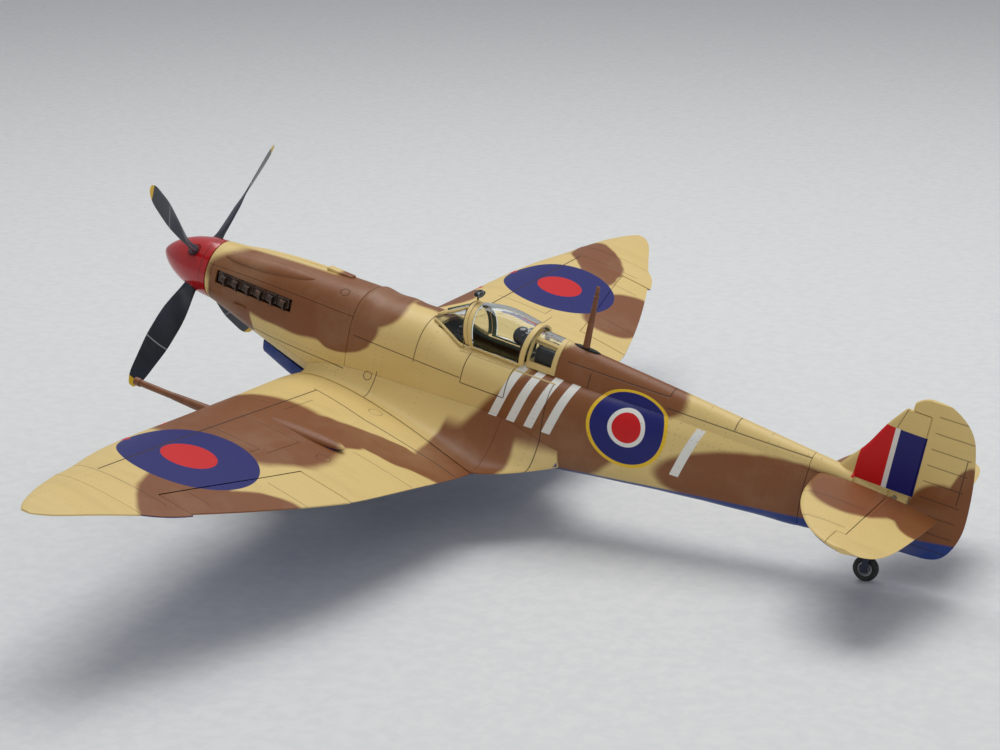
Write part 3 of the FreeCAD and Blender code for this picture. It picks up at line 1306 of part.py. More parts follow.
def make_mast():
    foot = spine_top(MAST_X)
    rows = [(-3.0, 0.58, 0.58), (0.35, 0.58, 0.58)]
    socket = rod((MAST_X, 0, foot + rows[0][0]), (MAST_X, 0, foot + rows[1][0]), 0.58)
    wires = []
    for share, half_x, half_y in ((0.0, 1.25, 0.75), (0.5, 1.0, 0.6), (1.0, 0.62, 0.38)):
        z = foot + 0.3 + share * (size("mast_height") - 0.3)
        wires.append(Part.Wire([Part.Ellipse(Vector(MAST_X, 0, z), half_x, half_y).toShape()]))
    keep("radio_mast", fused([socket, loft(wires)]))


def make_intake():
    """Carburettor scoop under the nose, its lip open ahead."""
    front, rear = FIREWALL - 38.6, FIREWALL - 4.0
    wires = []
    for share, half, deep in ((0.0, 3.4, 5.4), (0.3, 4.2, 6.2), (0.7, 4.4, 5.6), (1.0, 2.6, 2.4)):
        x = front + share * (rear - front)
        top = table(HULL, x, 4) - 0.15
        points = [Vector(x, half * math.cos(t), top - deep * math.sin(t) ** 0.6)
                  for t in spread(0, math.pi, 11)]
        wires.append(ring(points))
    scoop = loft(wires)
    hull = loft([ring(both_sides([hull_point(x, a, -0.12) for a in spread(90, -90, 13)])[:-1])
                 for x in spread(front - 3, FIREWALL, 5)])
    scoop = scoop.cut(hull)
    mouth_z = table(HULL, front, 4) - 3.0
    scoop = scoop.cut(rod((front - 1, 0, mouth_z), (front + 5, 0, mouth_z), 1.9))
    keep("carb_intake", scoop)


# ---------------------------------------------------------------- stance and writing
def stance():
    """The placement that stands the aircraft on its main and tail tyres."""
    along = TAIL_AXLE_X - size("wheel_x")
    rise = size("wheel_drop") - size("tail_wheel_drop")
    reach = math.hypot(along, rise)
    smaller = size("tyre_radius") - size("tail_tyre_radius")
    angle = math.atan2(rise, along) + math.asin(smaller / reach)
    tip = Placement(Vector(0, 0, 0), Rotation(Vector(0, 1, 0), math.degrees(angle)))
    axle = tip.multVec(Vector(size("wheel_x"), 0, -size("wheel_drop")))
    nose = tip.multVec(Vector(0, 0, 0)).x
    stern = max(tip.multVec(Vector(RUDDER_X + aft, 0, z)).x for z, fore, aft in FIN_EDGE)
    tip.Base = Vector(-(nose + stern) / 2, 0, size("tyre_radius") - axle.z)
    return tip


def write_all():
    stand = stance()
    doc.recompute()
    for feature, local in pieces:
        feature.Placement = stand.multiply(local)
    doc.recompute()
    for feature in doc.Objects:
        if "Invalid" in feature.State or "Error" in feature.State:
            raise RuntimeError("failed feature " + feature.Label)
    os.makedirs("parts", exist_ok=True)
    for feature, local in pieces:
        shape = feature.Shape
        if shape.isNull() or not shape.isValid() or not shape.Solids:
            raise RuntimeError("bad shape " + feature.Label)
        shape.exportStep("parts/%s.step" % feature.Label)


def main():
    make_nose()
    make_firewall()
    make_engine()
    make_exhausts()
    make_propeller()
    make_intake()
    make_fuselage()
    make_door()
    make_fillets()
    make_wings()
    make_guns()
    make_radiators()
    make_legs()
    make_wheels()
    make_fin()
    make_tailplane()
    make_tail_wheel()
    make_windscreen()
    make_hood()
    make_rear_glazing()
    make_cockpit()
    make_mast()
    write_all()


main()
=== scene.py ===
"""Finishing shop for a display model of a single-seat propeller fighter."""
import json
import math

import bmesh
import bpy
from mathutils import Matrix, Vector


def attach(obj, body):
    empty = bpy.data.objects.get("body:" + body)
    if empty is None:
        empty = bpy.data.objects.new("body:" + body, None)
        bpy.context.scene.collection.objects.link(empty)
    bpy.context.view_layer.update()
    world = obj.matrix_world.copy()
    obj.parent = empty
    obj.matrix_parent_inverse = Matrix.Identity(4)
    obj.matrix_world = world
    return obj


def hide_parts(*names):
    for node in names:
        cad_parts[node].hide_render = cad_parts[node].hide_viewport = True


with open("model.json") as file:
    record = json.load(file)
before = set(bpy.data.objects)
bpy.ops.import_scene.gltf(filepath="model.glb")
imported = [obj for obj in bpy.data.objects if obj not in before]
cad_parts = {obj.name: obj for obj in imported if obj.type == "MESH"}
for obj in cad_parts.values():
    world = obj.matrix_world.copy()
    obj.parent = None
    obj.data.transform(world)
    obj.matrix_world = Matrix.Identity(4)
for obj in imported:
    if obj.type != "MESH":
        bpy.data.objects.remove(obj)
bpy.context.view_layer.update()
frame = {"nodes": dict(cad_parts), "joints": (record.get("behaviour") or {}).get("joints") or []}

bl_info = {
    "name": "Propeller fighter display model",
    "version": (1, 0, 0),
    "blender": (4, 5, 0),
    "location": "3D View > Sidebar > Fighter",
    "description": "Paints and details a display model of a propeller fighter",
    "category": "Object",
}

NODES = frame["nodes"]
JOINTS = {joint["name"]: joint for joint in frame["joints"]}
MM = 0.001

# The aircraft's own datum: X aft from the spinner tip, Y to starboard, Z up from the thrust
# line, in millimetres. The model stands on its wheels nose up by STANCE.
SPIN = JOINTS["propeller_spin"]
STANCE = math.atan2(-SPIN["axis"][2], SPIN["axis"][0])
TURN = Matrix.Rotation(STANCE, 4, "Y")
BLADE_PLANE = 16.4  # the blades' axes cross the shaft this far behind the spinner tip
BLADES = 4
STUBS = 6
RAIL_HEIGHT = 7.2
BASE = Vector(SPIN["pos_m"]) - TURN @ Vector((BLADE_PLANE * MM, 0, 0))
TO_ROW = Matrix.Translation(BASE) @ TURN @ Matrix.Scale(MM, 4)


def tint(red, green, blue):
    """A display colour, 0 to 255, as scene-linear RGBA."""
    def linear(level):
        level = level / 255.0
        return level / 12.92 if level <= 0.04045 else ((level + 0.055) / 1.055) ** 2.4
    return (linear(red), linear(green), linear(blue), 1.0)


def colour(label, meaning, shade):
    """A colour property of the paint shop."""
    return bpy.props.FloatVectorProperty(
        name=label, description=meaning, default=tint(*shade), size=4, min=0.0, max=1.0,
        subtype="COLOR")


# ------------------------------------------------------------------ materials
class Value:
    """A number, vector or colour inside a material; arithmetic on it adds Math nodes."""

    def __init__(self, finish, socket):
        self.finish = finish
        self.socket = socket

    def math(self, operation, *others):
        inputs = dict(enumerate((self,) + others))
        return self.finish.node("ShaderNodeMath", {"operation": operation}, inputs)

    def __add__(self, other):
        return self.math("ADD", other)

    __radd__ = __add__

    def __sub__(self, other):
        return self.math("SUBTRACT", other)

    def __rsub__(self, other):
        return self.math("MULTIPLY_ADD", -1.0, other)

    def __mul__(self, other):
        return self.math("MULTIPLY", other)

    __rmul__ = __mul__

    def __truediv__(self, other):
        return self.math("DIVIDE", other)

    def __abs__(self):
        return self.math("ABSOLUTE")

    def most(self, other):
        return self.math("MAXIMUM", other)

    def near(self, spacing):
        """Distance to the nearest multiple of a spacing."""
        return self.math("PINGPONG", spacing / 2.0)

    def also(self, output):
        """Another output of the same node."""
        return Value(self.finish, self.socket.node.outputs[output])

    def step(self, low, high):
        """0 at low, 1 at high, smooth between."""
        return self.finish.node("ShaderNodeMapRange", {"interpolation_type": "SMOOTHSTEP"}, {
            "Value": self, "From Min": low, "From Max": high})

    def below(self, limit, soft=0.05):
        return self.step(limit + soft, limit - soft)

    def above(self, limit, soft=0.05):
        return self.step(limit - soft, limit + soft)

    def between(self, low, high, soft=0.05):
        return self.above(low, soft) * self.below(high, soft)


class Finish:
    """One material of the model, with its points in the aircraft's datum in millimetres."""

    def __init__(self, name):
        self.material = bpy.data.materials.new(name)
        self.material.use_nodes = True
        self.tree = self.material.node_tree
        self.tree.nodes.clear()
        place = self.node("ShaderNodeTexCoord", out="Object")
        back = TURN.inverted() @ BASE
        self.point = self.node("ShaderNodeMapping", {"vector_type": "POINT"}, {
            "Vector": place, "Location": [-c / MM for c in back],
            "Rotation": (0.0, -STANCE, 0.0), "Scale": (1 / MM, 1 / MM, 1 / MM)})
        self.x, self.y, self.z = self.split(self.point)
        facing = self.node("ShaderNodeMapping", {"vector_type": "NORMAL"}, {
            "Vector": place.also("Normal"), "Rotation": (0.0, -STANCE, 0.0)})
        self.facing_x, self.facing_y, self.facing_z = self.split(facing)

    def node(self, kind, settings=None, inputs=None, out=0):
        """Adds a node: its settings first, then the values or links of its sockets."""
        made = self.tree.nodes.new(kind)
        for setting, choice in (settings or {}).items():
            setattr(made, setting, choice)
        for key, given in (inputs or {}).items():
            socket = made.inputs[key]
            if isinstance(given, Value):
                self.tree.links.new(given.socket, socket)
            else:
                socket.default_value = given
        return None if out is None else Value(self, made.outputs[out])

    def split(self, vector):
        first = self.node("ShaderNodeSeparateXYZ", None, {0: vector}, "X")
        return first, first.also("Y"), first.also("Z")

    def vector(self, x, y, z=0.0):
        return self.node("ShaderNodeCombineXYZ", None, {"X": x, "Y": y, "Z": z})

    def mix(self, factor, first, second):
        return self.node("ShaderNodeMix", {"data_type": "RGBA"},
                         {0: factor, 6: first, 7: second}, 2)

    def blend(self, factor, first, second):
        """Mixes two numbers."""
        return self.node("ShaderNodeMix", {"data_type": "FLOAT"}, {0: factor, 2: first, 3: second})

    def noise(self, scale, detail=3.0, rough=0.5, stretch=(1.0, 1.0, 1.0)):
        """Fractal noise; scale is in cells per millimetre."""
        stretched = self.node("ShaderNodeMapping", None, {"Vector": self.point, "Scale": stretch})
        return self.node("ShaderNodeTexNoise", None, {
            "Vector": stretched, "Scale": scale, "Detail": detail, "Roughness": rough})

    def radius(self, u, v, centre=(0.0, 0.0)):
        """Distance in a plane from a centre."""
        flat = self.vector(u - centre[0], v - centre[1])
        return self.length(flat)

    def length(self, vector):
        return self.node("ShaderNodeVectorMath", {"operation": "LENGTH"}, {0: vector}, "Value")

    def away(self, centre):
        """Distance from a point."""
        return self.node("ShaderNodeVectorMath", {"operation": "DISTANCE"}, {
            0: self.point, 1: centre}, "Value")

    def patches(self, u, v, ovals, soft=0.07):
        """Soft-edged paint patches: ovals of centre, two radii and turn in degrees, merged."""
        wander = self.noise(0.05, 2.0)
        flat = self.vector(u + (wander - 0.5) * 9.0, v + (wander - 0.5) * 5.0)
        merged = None
        for across, up, first_radius, second_radius, turn in ovals:
            placed = self.node("ShaderNodeMapping", {"vector_type": "TEXTURE"}, {
                "Vector": flat, "Location": (across, up, 0.0),
                "Rotation": (0.0, 0.0, math.radians(turn)),
                "Scale": (first_radius, second_radius, 1.0)})
            reach = self.length(placed)
            merged = reach if merged is None else merged.math("SMOOTH_MIN", reach, 0.12)
        return merged.below(1.0, soft)

    def line(self, distance, width=0.12, soft=0.08):
        """A scribed line where a signed distance is nearly nought."""
        return abs(distance).below(width, soft)

    def rivets(self, across, along, spacing=1.5, size=0.17):
        """A row of rivet heads along a line."""
        return self.radius(across, along.near(spacing)).below(size, 0.07)

    def close(self, colour, rough, height=None, depth=0.1, **constants):
        """The shader and the output; a height of 1 stands depth millimetres proud."""
        inputs = {"Base Color": colour, "Roughness": rough}
        inputs.update({name.replace("_", " "): level for name, level in constants.items()})
        if height is not None:
            inputs["Normal"] = self.node("ShaderNodeBump", None, {
                "Strength": 1.0, "Distance": depth * MM, "Height": height})
        shader = self.node("ShaderNodeBsdfPrincipled", None, inputs)
        self.node("ShaderNodeOutputMaterial", None, {"Surface": shader}, None)
        return self.material


# Camouflage patches of the darker colour: centre along and across, two radii, turn.
PORT_WING = [
    (92, 79, 31, 31.5, 0), (108, 57, 13, 11, 0), (127, 47.5, 24, 7.5, -6), (143, 27, 13, 24, 0),
    (134, 130, 14, 18, 0), (117, 144, 14, 25, -28)]
STARBOARD_WING = [
    (70, 85, 10, 15, 0), (127, 119, 14, 19, 0), (98, 152, 9, 21, 35), (144, 30, 12, 20, 0)]
PORT_SIDE = [
    (60, 4.2, 34, 11.4, 0), (36, -9, 9.5, 17, 0), (86, 12, 15, 9, 0), (81, -1.5, 12, 5.5, 0),
    (85, 4, 10, 9, 0),
    (48, -26, 16, 6, -29), (166, -5, 20, 42, -42), (182, 14, 24, 9, 0), (240, -4, 38, 12.5, 8),
    (292, 4, 13, 13, 0), (298, 14, 6, 11, 0)]
STARBOARD_SIDE = [
    (44, -10, 17, 9, 25), (86, 12, 15, 9, 0), (104, -2, 12, 20, -25), (126, -20, 26, 9, 0),
    (182, 14, 24, 9, 0), (196, -2, 13, 20, 20), (238, -4, 22, 12, -20), (258, 2, 9, 9, 0),
    (292, 4, 13, 13, 0), (298, 14, 6, 11, 0)]
TAILPLANE = [(268, 6, 16, 21.5, 0), (282, 8, 10, 11, 0), (290, 12, 8.5, 12.8, 0)]


def weather(finish, base, worn=0.5):
    """Mottles a paint: broad fading, fine grain and streaks along the airflow."""
    broad = finish.noise(0.035, 4.0, 0.6)
    fine = finish.noise(0.9, 3.0, 0.6)
    streak = finish.noise(0.12, 4.0, 0.6, (0.18, 1.0, 1.0))
    faded = finish.mix((broad - 0.5) * 0.4, base, tint(240, 222, 184))
    grained = finish.mix((fine - 0.5) * 0.22 * worn, faded, tint(60, 42, 28))
    return finish.mix((streak - 0.5) * 0.8 * worn, grained, tint(86, 58, 34))


def roundel(finish, base, distance, rings):
    """Rings of colour, the widest first: radius, colour."""
    for reach, shade in rings:
        base = finish.mix(distance.below(reach, 0.12), base, shade)
    return base


def painted(finish, base, lines, heads, dark):
    """Closes a painted skin: washed panel lines, rivet heads and a satin surface."""
    grime = finish.noise(0.25, 4.0, 0.65)
    washed = finish.mix(lines * 0.72, base, dark)
    washed = finish.mix(heads * 0.35, washed, dark)
    height = heads * 0.35 - lines + finish.noise(0.6, 2.0) * 0.06
    return finish.close(washed, 0.33 + grime * 0.16, height, 0.09, Specular_IOR_Level=0.32)


def side_lines(finish):
    """Panel lines and rivets of the fuselage sides, fin and rudder."""
    x, z = finish.x, finish.z
    lines = finish.line(x - 26.6) * z.between(-9, 6, 0.2)
    for station, low, high in ((112, -1, 13), (99, -26, -9), (161.5, -26, 7), (172, 8.6, 13.5),
                               (199.5, 14.6, 21), (223, 11.6, 18), (130.4, -1.8, 7.5),
                               (146.6, -1.8, 7.5), (295.4, 12, 27)):
        lines = lines.most(finish.line(x - station, 0.17) * z.between(low, high, 0.2))
    for height, rise, low, high in ((0.2, -0.012, 88, 130), (-12.5, 0.0, 30, 86),
                                    (14.6, 0.0, 163, 199.5), (11.4, 0.0, 199.5, 249),
                                    (-1.8, 0.0, 130.4, 146.6)):
        run = finish.line(z - height - (x - low) * rise, 0.17) * x.between(low, high, 0.3)
        lines = lines.most(run)
    rib = (z - 0.6).near(5.25).below(0.2, 0.14)
    lines = lines.most(rib * x.between(283.8, 296.5, 0.4) * 0.7)
    lines = lines.most(finish.line(x - 271.8 - (z - 29) * 0.31) * z.between(29.6, 37, 0.2))
    for spot in ((79, -8.4, 12.3), (79, 8.4, 12.3), (96, -12.6, -12), (152, -12, -13)):
        lines = lines.most(finish.line(finish.away(spot) - 1.9, 0.12))
    rows = None
    for station in (31.5, 84.2, 87.8, 97.4, 100.6, 116.6, 158.4, 161.6, 174.4, 177.6, 190, 202.4,
                    205.6, 213, 220.4, 223.6, 234.4, 237.6, 243, 247.4, 251.6):
        row = finish.rivets(x - station, z, 1.7)
        rows = row if rows is None else rows.most(row)
    for level in (7.4, 3.4, -10.6, -14.4):
        rows = rows.most(finish.rivets(z - level, x, 1.9, 0.2) * x.between(30, 85, 0.2))
    for level in (5.0, -5.0):
        rows = rows.most(finish.rivets(z - level, x, 1.9) * x.between(150, 248, 0.2))
    return lines, rows


def wing_lines(finish):
    """Panel lines and rivets of the wing's upper skin."""
    x, v = finish.x, abs(finish.y)
    spar = x - 87.4 - (v - 40) * 0.028
    bold = finish.line(spar, 0.24) * v.between(30, 151, 0.3)
    walk = finish.line(v - 30 - (x - 86) * 0.25, 0.24) * x.between(86, 110, 0.2)
    walk = walk.most(finish.line(v - 36 - (x - 110) * 0.053, 0.24) * x.between(110, 147.5, 0.2))
    thin = None
    for station, low, high in ((75, 86.5, 110), (93, 86.5, 107), (57, 66, 86), (110, 122, 137),
                               (139, 112, 122), (152, 80, 116), (62, 122, 146)):
        mark = finish.line(v - station) * x.between(low, high, 0.2)
        thin = mark if thin is None else thin.most(mark)
    for station, low, high in ((110, 75, 93), (107, 93, 98), (92, 40, 57)):
        thin = thin.most(finish.line(x - station) * v.between(low, high, 0.2))
    for centre in ((108, 26), (120.4, 76.8)):
        thin = thin.most(finish.line(finish.radius(x, v, centre) - 2.3, 0.1))
    rows = finish.rivets(spar - 1.3, v, 1.5).most(finish.rivets(spar + 1.3, v, 1.5))
    rows = rows.most(finish.rivets(x - 110 - (v - 40) * 0.09, v, 1.7))
    ribs = finish.rivets((v - 22).near(15.4), x, 1.8) * x.above(72, 1.0)
    return bold.most(walk), thin, rows.most(ribs * 0.7)


def make_side_paint(shop, name="side_paint"):
    """Two colours over azure on the fuselage, fin and rudder, with their markings."""
    finish = Finish(name)
    x, y, z = finish.x, finish.y, finish.z
    port = finish.patches(x, z, PORT_SIDE)
    starboard = finish.patches(x, z, STARBOARD_SIDE)
    brown = finish.blend(y.above(0.0, 1.4), port, starboard)
    if name == "fillet_paint":
        upper = finish.blend(y.above(0.0, 1.4), finish.patches(x, abs(y), PORT_WING),
                             finish.patches(x, abs(y), STARBOARD_WING))
        brown = finish.blend(z.above(-14.5, 2.5), upper, brown)
    base = finish.mix(brown, shop.sand, shop.brown)
    keel = (x - 200) * 0.156 - 16.3
    low = (z - keel.most(-24.6)).below(0.0, 0.5)
    low = low.most(finish.facing_z.below(-0.78, 0.06) * x.above(60, 4) * z.below(-4, 1))
    if name == "fillet_paint":
        low = finish.facing_z.below(-0.3, 0.05)
    base = finish.mix(low, base, shop.azure)
    base = weather(finish, base)
    shoulder = (z - 5).most(0)
    ring = finish.radius(x, z + shoulder * shoulder * 0.035, (189.5, 2.0))
    base = roundel(finish, base, ring, (
        (13.6, shop.yellow), (12.4, shop.blue), (6.3, shop.white), (4.9, shop.red)))
    flash = z.between(10.0, 29.5, 0.12) * x.between(254.0, 282.0, 0.12)
    strip = finish.mix(x.above(271.7, 0.1), shop.red, shop.white)
    strip = finish.mix(x.above(273.3, 0.1), strip, shop.blue)
    front = x - 262.3 - (z - 10) * 0.02
    base = finish.mix(flash * front.above(0.0, 0.12), base, strip)
    for foot in (144.0, 150.4, 156.8, 163.2, 207.6):
        bar = abs(x - foot - (z + 8.7) * 0.3).below(1.5, 0.1) * z.between(-8.7, 8.6, 0.1)
        base = finish.mix(bar, base, shop.white)
    mirror = x.between(121.5, 127.5, 0.3) * z.above(22.3, 0.2)
    base = finish.mix(mirror, base, tint(34, 34, 32))
    inside = (finish.facing_y * y).below(-0.4, 0.2) * x.between(100, 165, 1) * z.above(-20, 1)
    inside = inside * abs(y).below(14, 0.5)
    base = finish.mix(inside, base, tint(84, 98, 62))
    lines, heads = side_lines(finish)
    outside = 1 - inside
    return painted(finish, base, lines * outside, heads * outside, tint(52, 34, 24))


def make_wing_paint(shop):
    """Two colours over azure on the wing, with roundels and a walkway line."""
    finish = Finish("wing_paint")
    x, y = finish.x, finish.y
    v = abs(y)
    port = finish.patches(x, v, PORT_WING)
    starboard = finish.patches(x, v, STARBOARD_WING)
    base = finish.mix(finish.blend(y.above(0.0, 1.0), port, starboard), shop.sand, shop.brown)
    base = weather(finish, base)
    base = roundel(finish, base, finish.radius(x, v, (99, 118.5)), (
        (21.4, shop.blue), (8.6, shop.red)))
    for station, front in ((99.0, 73.4), (121.0, 75.9)):
        patch = finish.radius(x * 0.8, v, (front * 0.8, station)).below(2.3, 0.3)
        base = finish.mix(patch, base, shop.red)
    under = weather(finish, shop.azure, 0.3)
    base = finish.mix(finish.facing_z.below(-0.35, 0.06), base, under)
    bold, thin, heads = wing_lines(finish)
    top = finish.facing_z.above(0.0, 0.05)
    base = finish.mix(bold * top * 0.5, base, tint(46, 30, 22))
    return painted(finish, base, (bold.most(thin)) * top, heads * top, tint(58, 38, 28))


def make_tail_paint(shop):
    """Two colours over azure on the tailplane and elevators."""
    finish = Finish("tail_paint")
    v = abs(finish.y)
    base = finish.mix(finish.patches(finish.x, v, TAILPLANE), shop.sand, shop.brown)
    base = weather(finish, base)
    base = finish.mix(finish.facing_z.below(-0.35, 0.06), base, weather(finish, shop.azure, 0.3))
    lines = finish.line(v - 20.5) * finish.x.below(274, 0.2)
    lines = lines.most(finish.line(v - 37) * finish.x.below(274, 0.2))
    heads = finish.rivets(finish.x - 272.5, v, 1.5).most(
        finish.rivets((v - 5).near(7.8), finish.x, 1.6))
    return painted(finish, base, lines, heads * 0.7, tint(58, 38, 28))


def make_under_paint(shop):
    """Azure underside with panel lines, oil streaks and rivets."""
    finish = Finish("under_paint")
    v = abs(finish.y)
    base = weather(finish, shop.azure, 0.35)
    stain = finish.noise(0.1, 4.0, 0.6, (0.15, 1.0, 1.0)).above(0.6, 0.12)
    base = finish.mix(stain * v.below(26, 8) * 0.4, base, tint(40, 36, 34))
    lines = finish.line(finish.x - 86.5) * v.above(32, 0.2)
    for station in (46, 62, 93, 110, 128, 152):
        lines = lines.most(finish.line(v - station) * finish.x.between(76, 132, 0.3))
    heads = finish.rivets((v - 22).near(7.7), finish.x, 1.7).most(
        finish.rivets(finish.x - 88.2, v, 1.5))
    return painted(finish, base, lines, heads, tint(28, 36, 62))


def make_spinner_paint(shop):
    """Gloss red spinner with the joint of its back plate and fasteners."""
    finish = Finish("spinner_paint")
    fade = finish.noise(0.15, 3.0)
    base = finish.mix((fade - 0.45) * 0.5, shop.spinner, tint(110, 6, 12))
    seams = finish.line(finish.x - 21.6, 0.12)
    heads = finish.rivets(finish.x - 22.7, finish.y.near(2.4) + finish.z.near(2.4), 2.4, 0.2)
    base = finish.mix(seams * 0.7, base, tint(36, 6, 10))
    rough = 0.2 + finish.noise(0.5, 3.0) * 0.1
    return finish.close(base, rough, heads * 0.3 - seams, 0.1, Coat_Weight=0.5,
                        Coat_Roughness=0.08)


def make_blade_paint(shop):
    """Blue-black blades with yellow tips and a fine pale band at mid-blade."""
    finish = Finish("blade_paint")
    reach = finish.radius(finish.y, finish.z)
    chip = finish.noise(1.3, 4.0, 0.7)
    base = finish.mix(finish.noise(0.2, 4.0), shop.blade, tint(44, 52, 62))
    base = finish.mix(finish.line(reach - 33.5, 0.22, 0.08) * 0.8, base, tint(168, 172, 178))
    base = finish.mix(reach.above(48.6, 0.2), base, shop.yellow)
    worn = chip.above(0.66, 0.03) * reach.above(26, 6)
    base = finish.mix(worn * 0.35, base, tint(140, 142, 146))
    return finish.close(base, 0.3 + chip * 0.16, chip * 0.1, 0.05)


def make_plain(name, shade, second, rough, metal=0.0, grain=0.5, depth=0.05, **more):
    """A finish of two near colours, with its own grain."""
    finish = Finish(name)
    broad = finish.noise(0.22, 4.0, 0.6)
    fine = finish.noise(2.2, 3.0, 0.6)
    base = finish.mix(broad.above(0.5, 0.16), shade, second)
    if metal:
        more["Metallic"] = metal
    return finish.close(base, rough + (fine - 0.5) * 0.2 + (broad - 0.5) * 0.12,
                        fine * grain, depth, **more)


def make_exhaust_metal():
    """Burnt gunmetal with rust and a pale heat bloom."""
    finish = Finish("exhaust_metal")
    broad = finish.noise(0.5, 5.0, 0.65)
    fine = finish.noise(2.4, 4.0, 0.6)
    base = finish.mix(broad.above(0.5, 0.14), tint(62, 56, 54), tint(98, 72, 56))
    base = finish.mix(fine.above(0.62, 0.05) * 0.5, base, tint(140, 128, 118))
    return finish.close(base, 0.4 + fine * 0.2, fine, 0.08, Metallic=0.55)


def make_rear_window(shop):
    """Glazing behind the hood: clear windows let into sand-painted framing, made dark by a black
    block of painted shade set behind them.
    """
    finish = Finish("rear_window")
    x, y, z = finish.x, finish.y, finish.z
    pane = x.between(150.2, 158.2, 0.12) * z.above(10.9, 0.12)
    rib = abs(abs(y) - 3.9).below(0.38, 0.1)
    pane = pane * (1 - rib)
    grime = finish.noise(0.4, 3.0)
    paint = finish.node("ShaderNodeBsdfPrincipled", None, {
        "Base Color": weather(finish, finish.mix(grime * 0.12, shop.sand, shop.brown)),
        "Roughness": 0.38 + grime * 0.12})
    glass = finish.node("ShaderNodeBsdfPrincipled", None, {
        "Base Color": (0.9, 0.94, 0.93, 1.0), "Roughness": 0.03 + grime * 0.04,
        "Transmission Weight": 1.0, "IOR": 1.3})
    mixed = finish.node("ShaderNodeMixShader", None, {0: pane, 1: paint, 2: glass})
    finish.node("ShaderNodeOutputMaterial", None, {"Surface": mixed}, None)
    return finish.material


def make_dial_face():
    """Black gauge faces with a pale graduated ring and a needle."""
    finish = Finish("dial_face")
    across = (abs(finish.y) - 3.35).math("ABSOLUTE") - 1.65
    up = abs(finish.z - 3.6) - 1.5
    reach = finish.radius(across, up)
    turn = up.math("ARCTAN2", across)
    ticks = turn.near(math.pi / 6).below(0.07, 0.03) * reach.between(0.66, 0.94, 0.03)
    needle = abs(across - up * 0.6).below(0.05, 0.03) * reach.below(0.6, 0.03)
    marks = ticks.most(needle)
    base = finish.mix(marks, tint(18, 18, 19), tint(226, 224, 210))
    return finish.close(base, 0.25 + finish.noise(1.0) * 0.1, marks, 0.02)


def make_matrix():
    """Dark radiator matrix: a fine square mesh of cooling tubes."""
    finish = Finish("radiator_matrix")
    cell = finish.y.near(0.7).most(finish.z.near(0.7))
    wall = cell.above(0.27, 0.04)
    base = finish.mix(wall, tint(16, 16, 17), tint(92, 84, 70))
    return finish.close(base, 0.5 + finish.noise(0.8) * 0.15, wall, 0.15, Metallic=0.4)


def make_glass():
    """Clear canopy with a faint green tint and fine scratches."""
    finish = Finish("canopy_glass")
    scratch = finish.noise(3.0, 2.0, 0.7, (0.2, 1.0, 1.0)).above(0.72, 0.03)
    return finish.close((0.93, 0.96, 0.95, 1.0), 0.02 + scratch * 0.05, None, 0.0,
                        Transmission_Weight=1.0, IOR=1.3)


# ------------------------------------------------------------------ modelling
def piece(name, mesh, body, material, angle=35.0):
    """Turns a mesh modelled in datum millimetres into a piece riding on a body."""
    bmesh.ops.remove_doubles(mesh, verts=mesh.verts, dist=0.002)
    bmesh.ops.recalc_face_normals(mesh, faces=mesh.faces)
    mesh.transform(TO_ROW)
    data = bpy.data.meshes.new(name)
    for face in mesh.faces:
        face.smooth = True
    mesh.to_mesh(data)
    mesh.free()
    data.set_sharp_from_angle(angle=math.radians(angle))
    made = bpy.data.objects.new(name, data)
    bpy.context.scene.collection.objects.link(made)
    made.data.materials.append(material)
    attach(made, body)
    return made


def datum_box(node):
    """A CAD node's box corners in datum millimetres."""
    back = TO_ROW.inverted()
    points = [back @ vertex.co for vertex in NODES[node].data.vertices]
    low = Vector([min(point[axis] for point in points) for axis in range(3)])
    high = Vector([max(point[axis] for point in points) for axis in range(3)])
    return low, high


def ring_of(mesh, profile, centre, axis="Y", steps=64):
    """Spins a closed profile of (along the axis, radius) about an axis through a centre."""
    across, up = {"X": ((1, 0, 0), (0, 0, 1)), "Y": ((0, 1, 0), (0, 0, 1)),
                  "Z": ((0, 0, 1), (1, 0, 0))}[axis]
    centre = Vector(centre)
    spots = [mesh.verts.new(centre + Vector(across) * along + Vector(up) * reach)
             for along, reach in profile]
    edges = [mesh.edges.new((first, second))
             for first, second in zip(spots, spots[1:] + spots[:1])]
    bmesh.ops.spin(mesh, geom=spots + edges, cent=centre, axis=Vector(across),
                   angle=math.tau, steps=steps, use_merge=True)


def slab(mesh, centre, extent, turn=None, bevel=0.0, segments=2):
    """A bevelled block: centre, side lengths and an optional turn."""
    place = Matrix.Translation(centre) @ (turn or Matrix.Identity(4)) @ Matrix.Diagonal(
        (*extent, 1.0))
    made = bmesh.ops.create_cube(mesh, size=1.0, matrix=place)
    if bevel:
        edges = {edge for vertex in made["verts"] for edge in vertex.link_edges}
        bmesh.ops.bevel(mesh, geom=list(edges), offset=bevel, offset_type="OFFSET",
                        affect="EDGES", segments=segments, profile=0.5, material=-1)


def rod_of(mesh, start, end, radius, sides=20):
    """A round rod from one point to another."""
    start, end = Vector(start), Vector(end)
    along = end - start
    place = Matrix.Translation((start + end) / 2) @ along.to_track_quat("Z", "Y").to_matrix(
        ).to_4x4()
    bmesh.ops.create_cone(mesh, cap_ends=True, segments=sides, radius1=radius, radius2=radius,
                          depth=along.length, matrix=place)


def touch(node, start, toward):
    """Where a ray from a datum point meets a CAD node, in datum millimetres."""
    start, toward = TO_ROW @ Vector(start), TURN @ Vector(toward)
    met, spot, _, _ = NODES[node].ray_cast(start, toward)
    if not met:
        raise RuntimeError("a ray misses " + node)
    return TO_ROW.inverted() @ spot


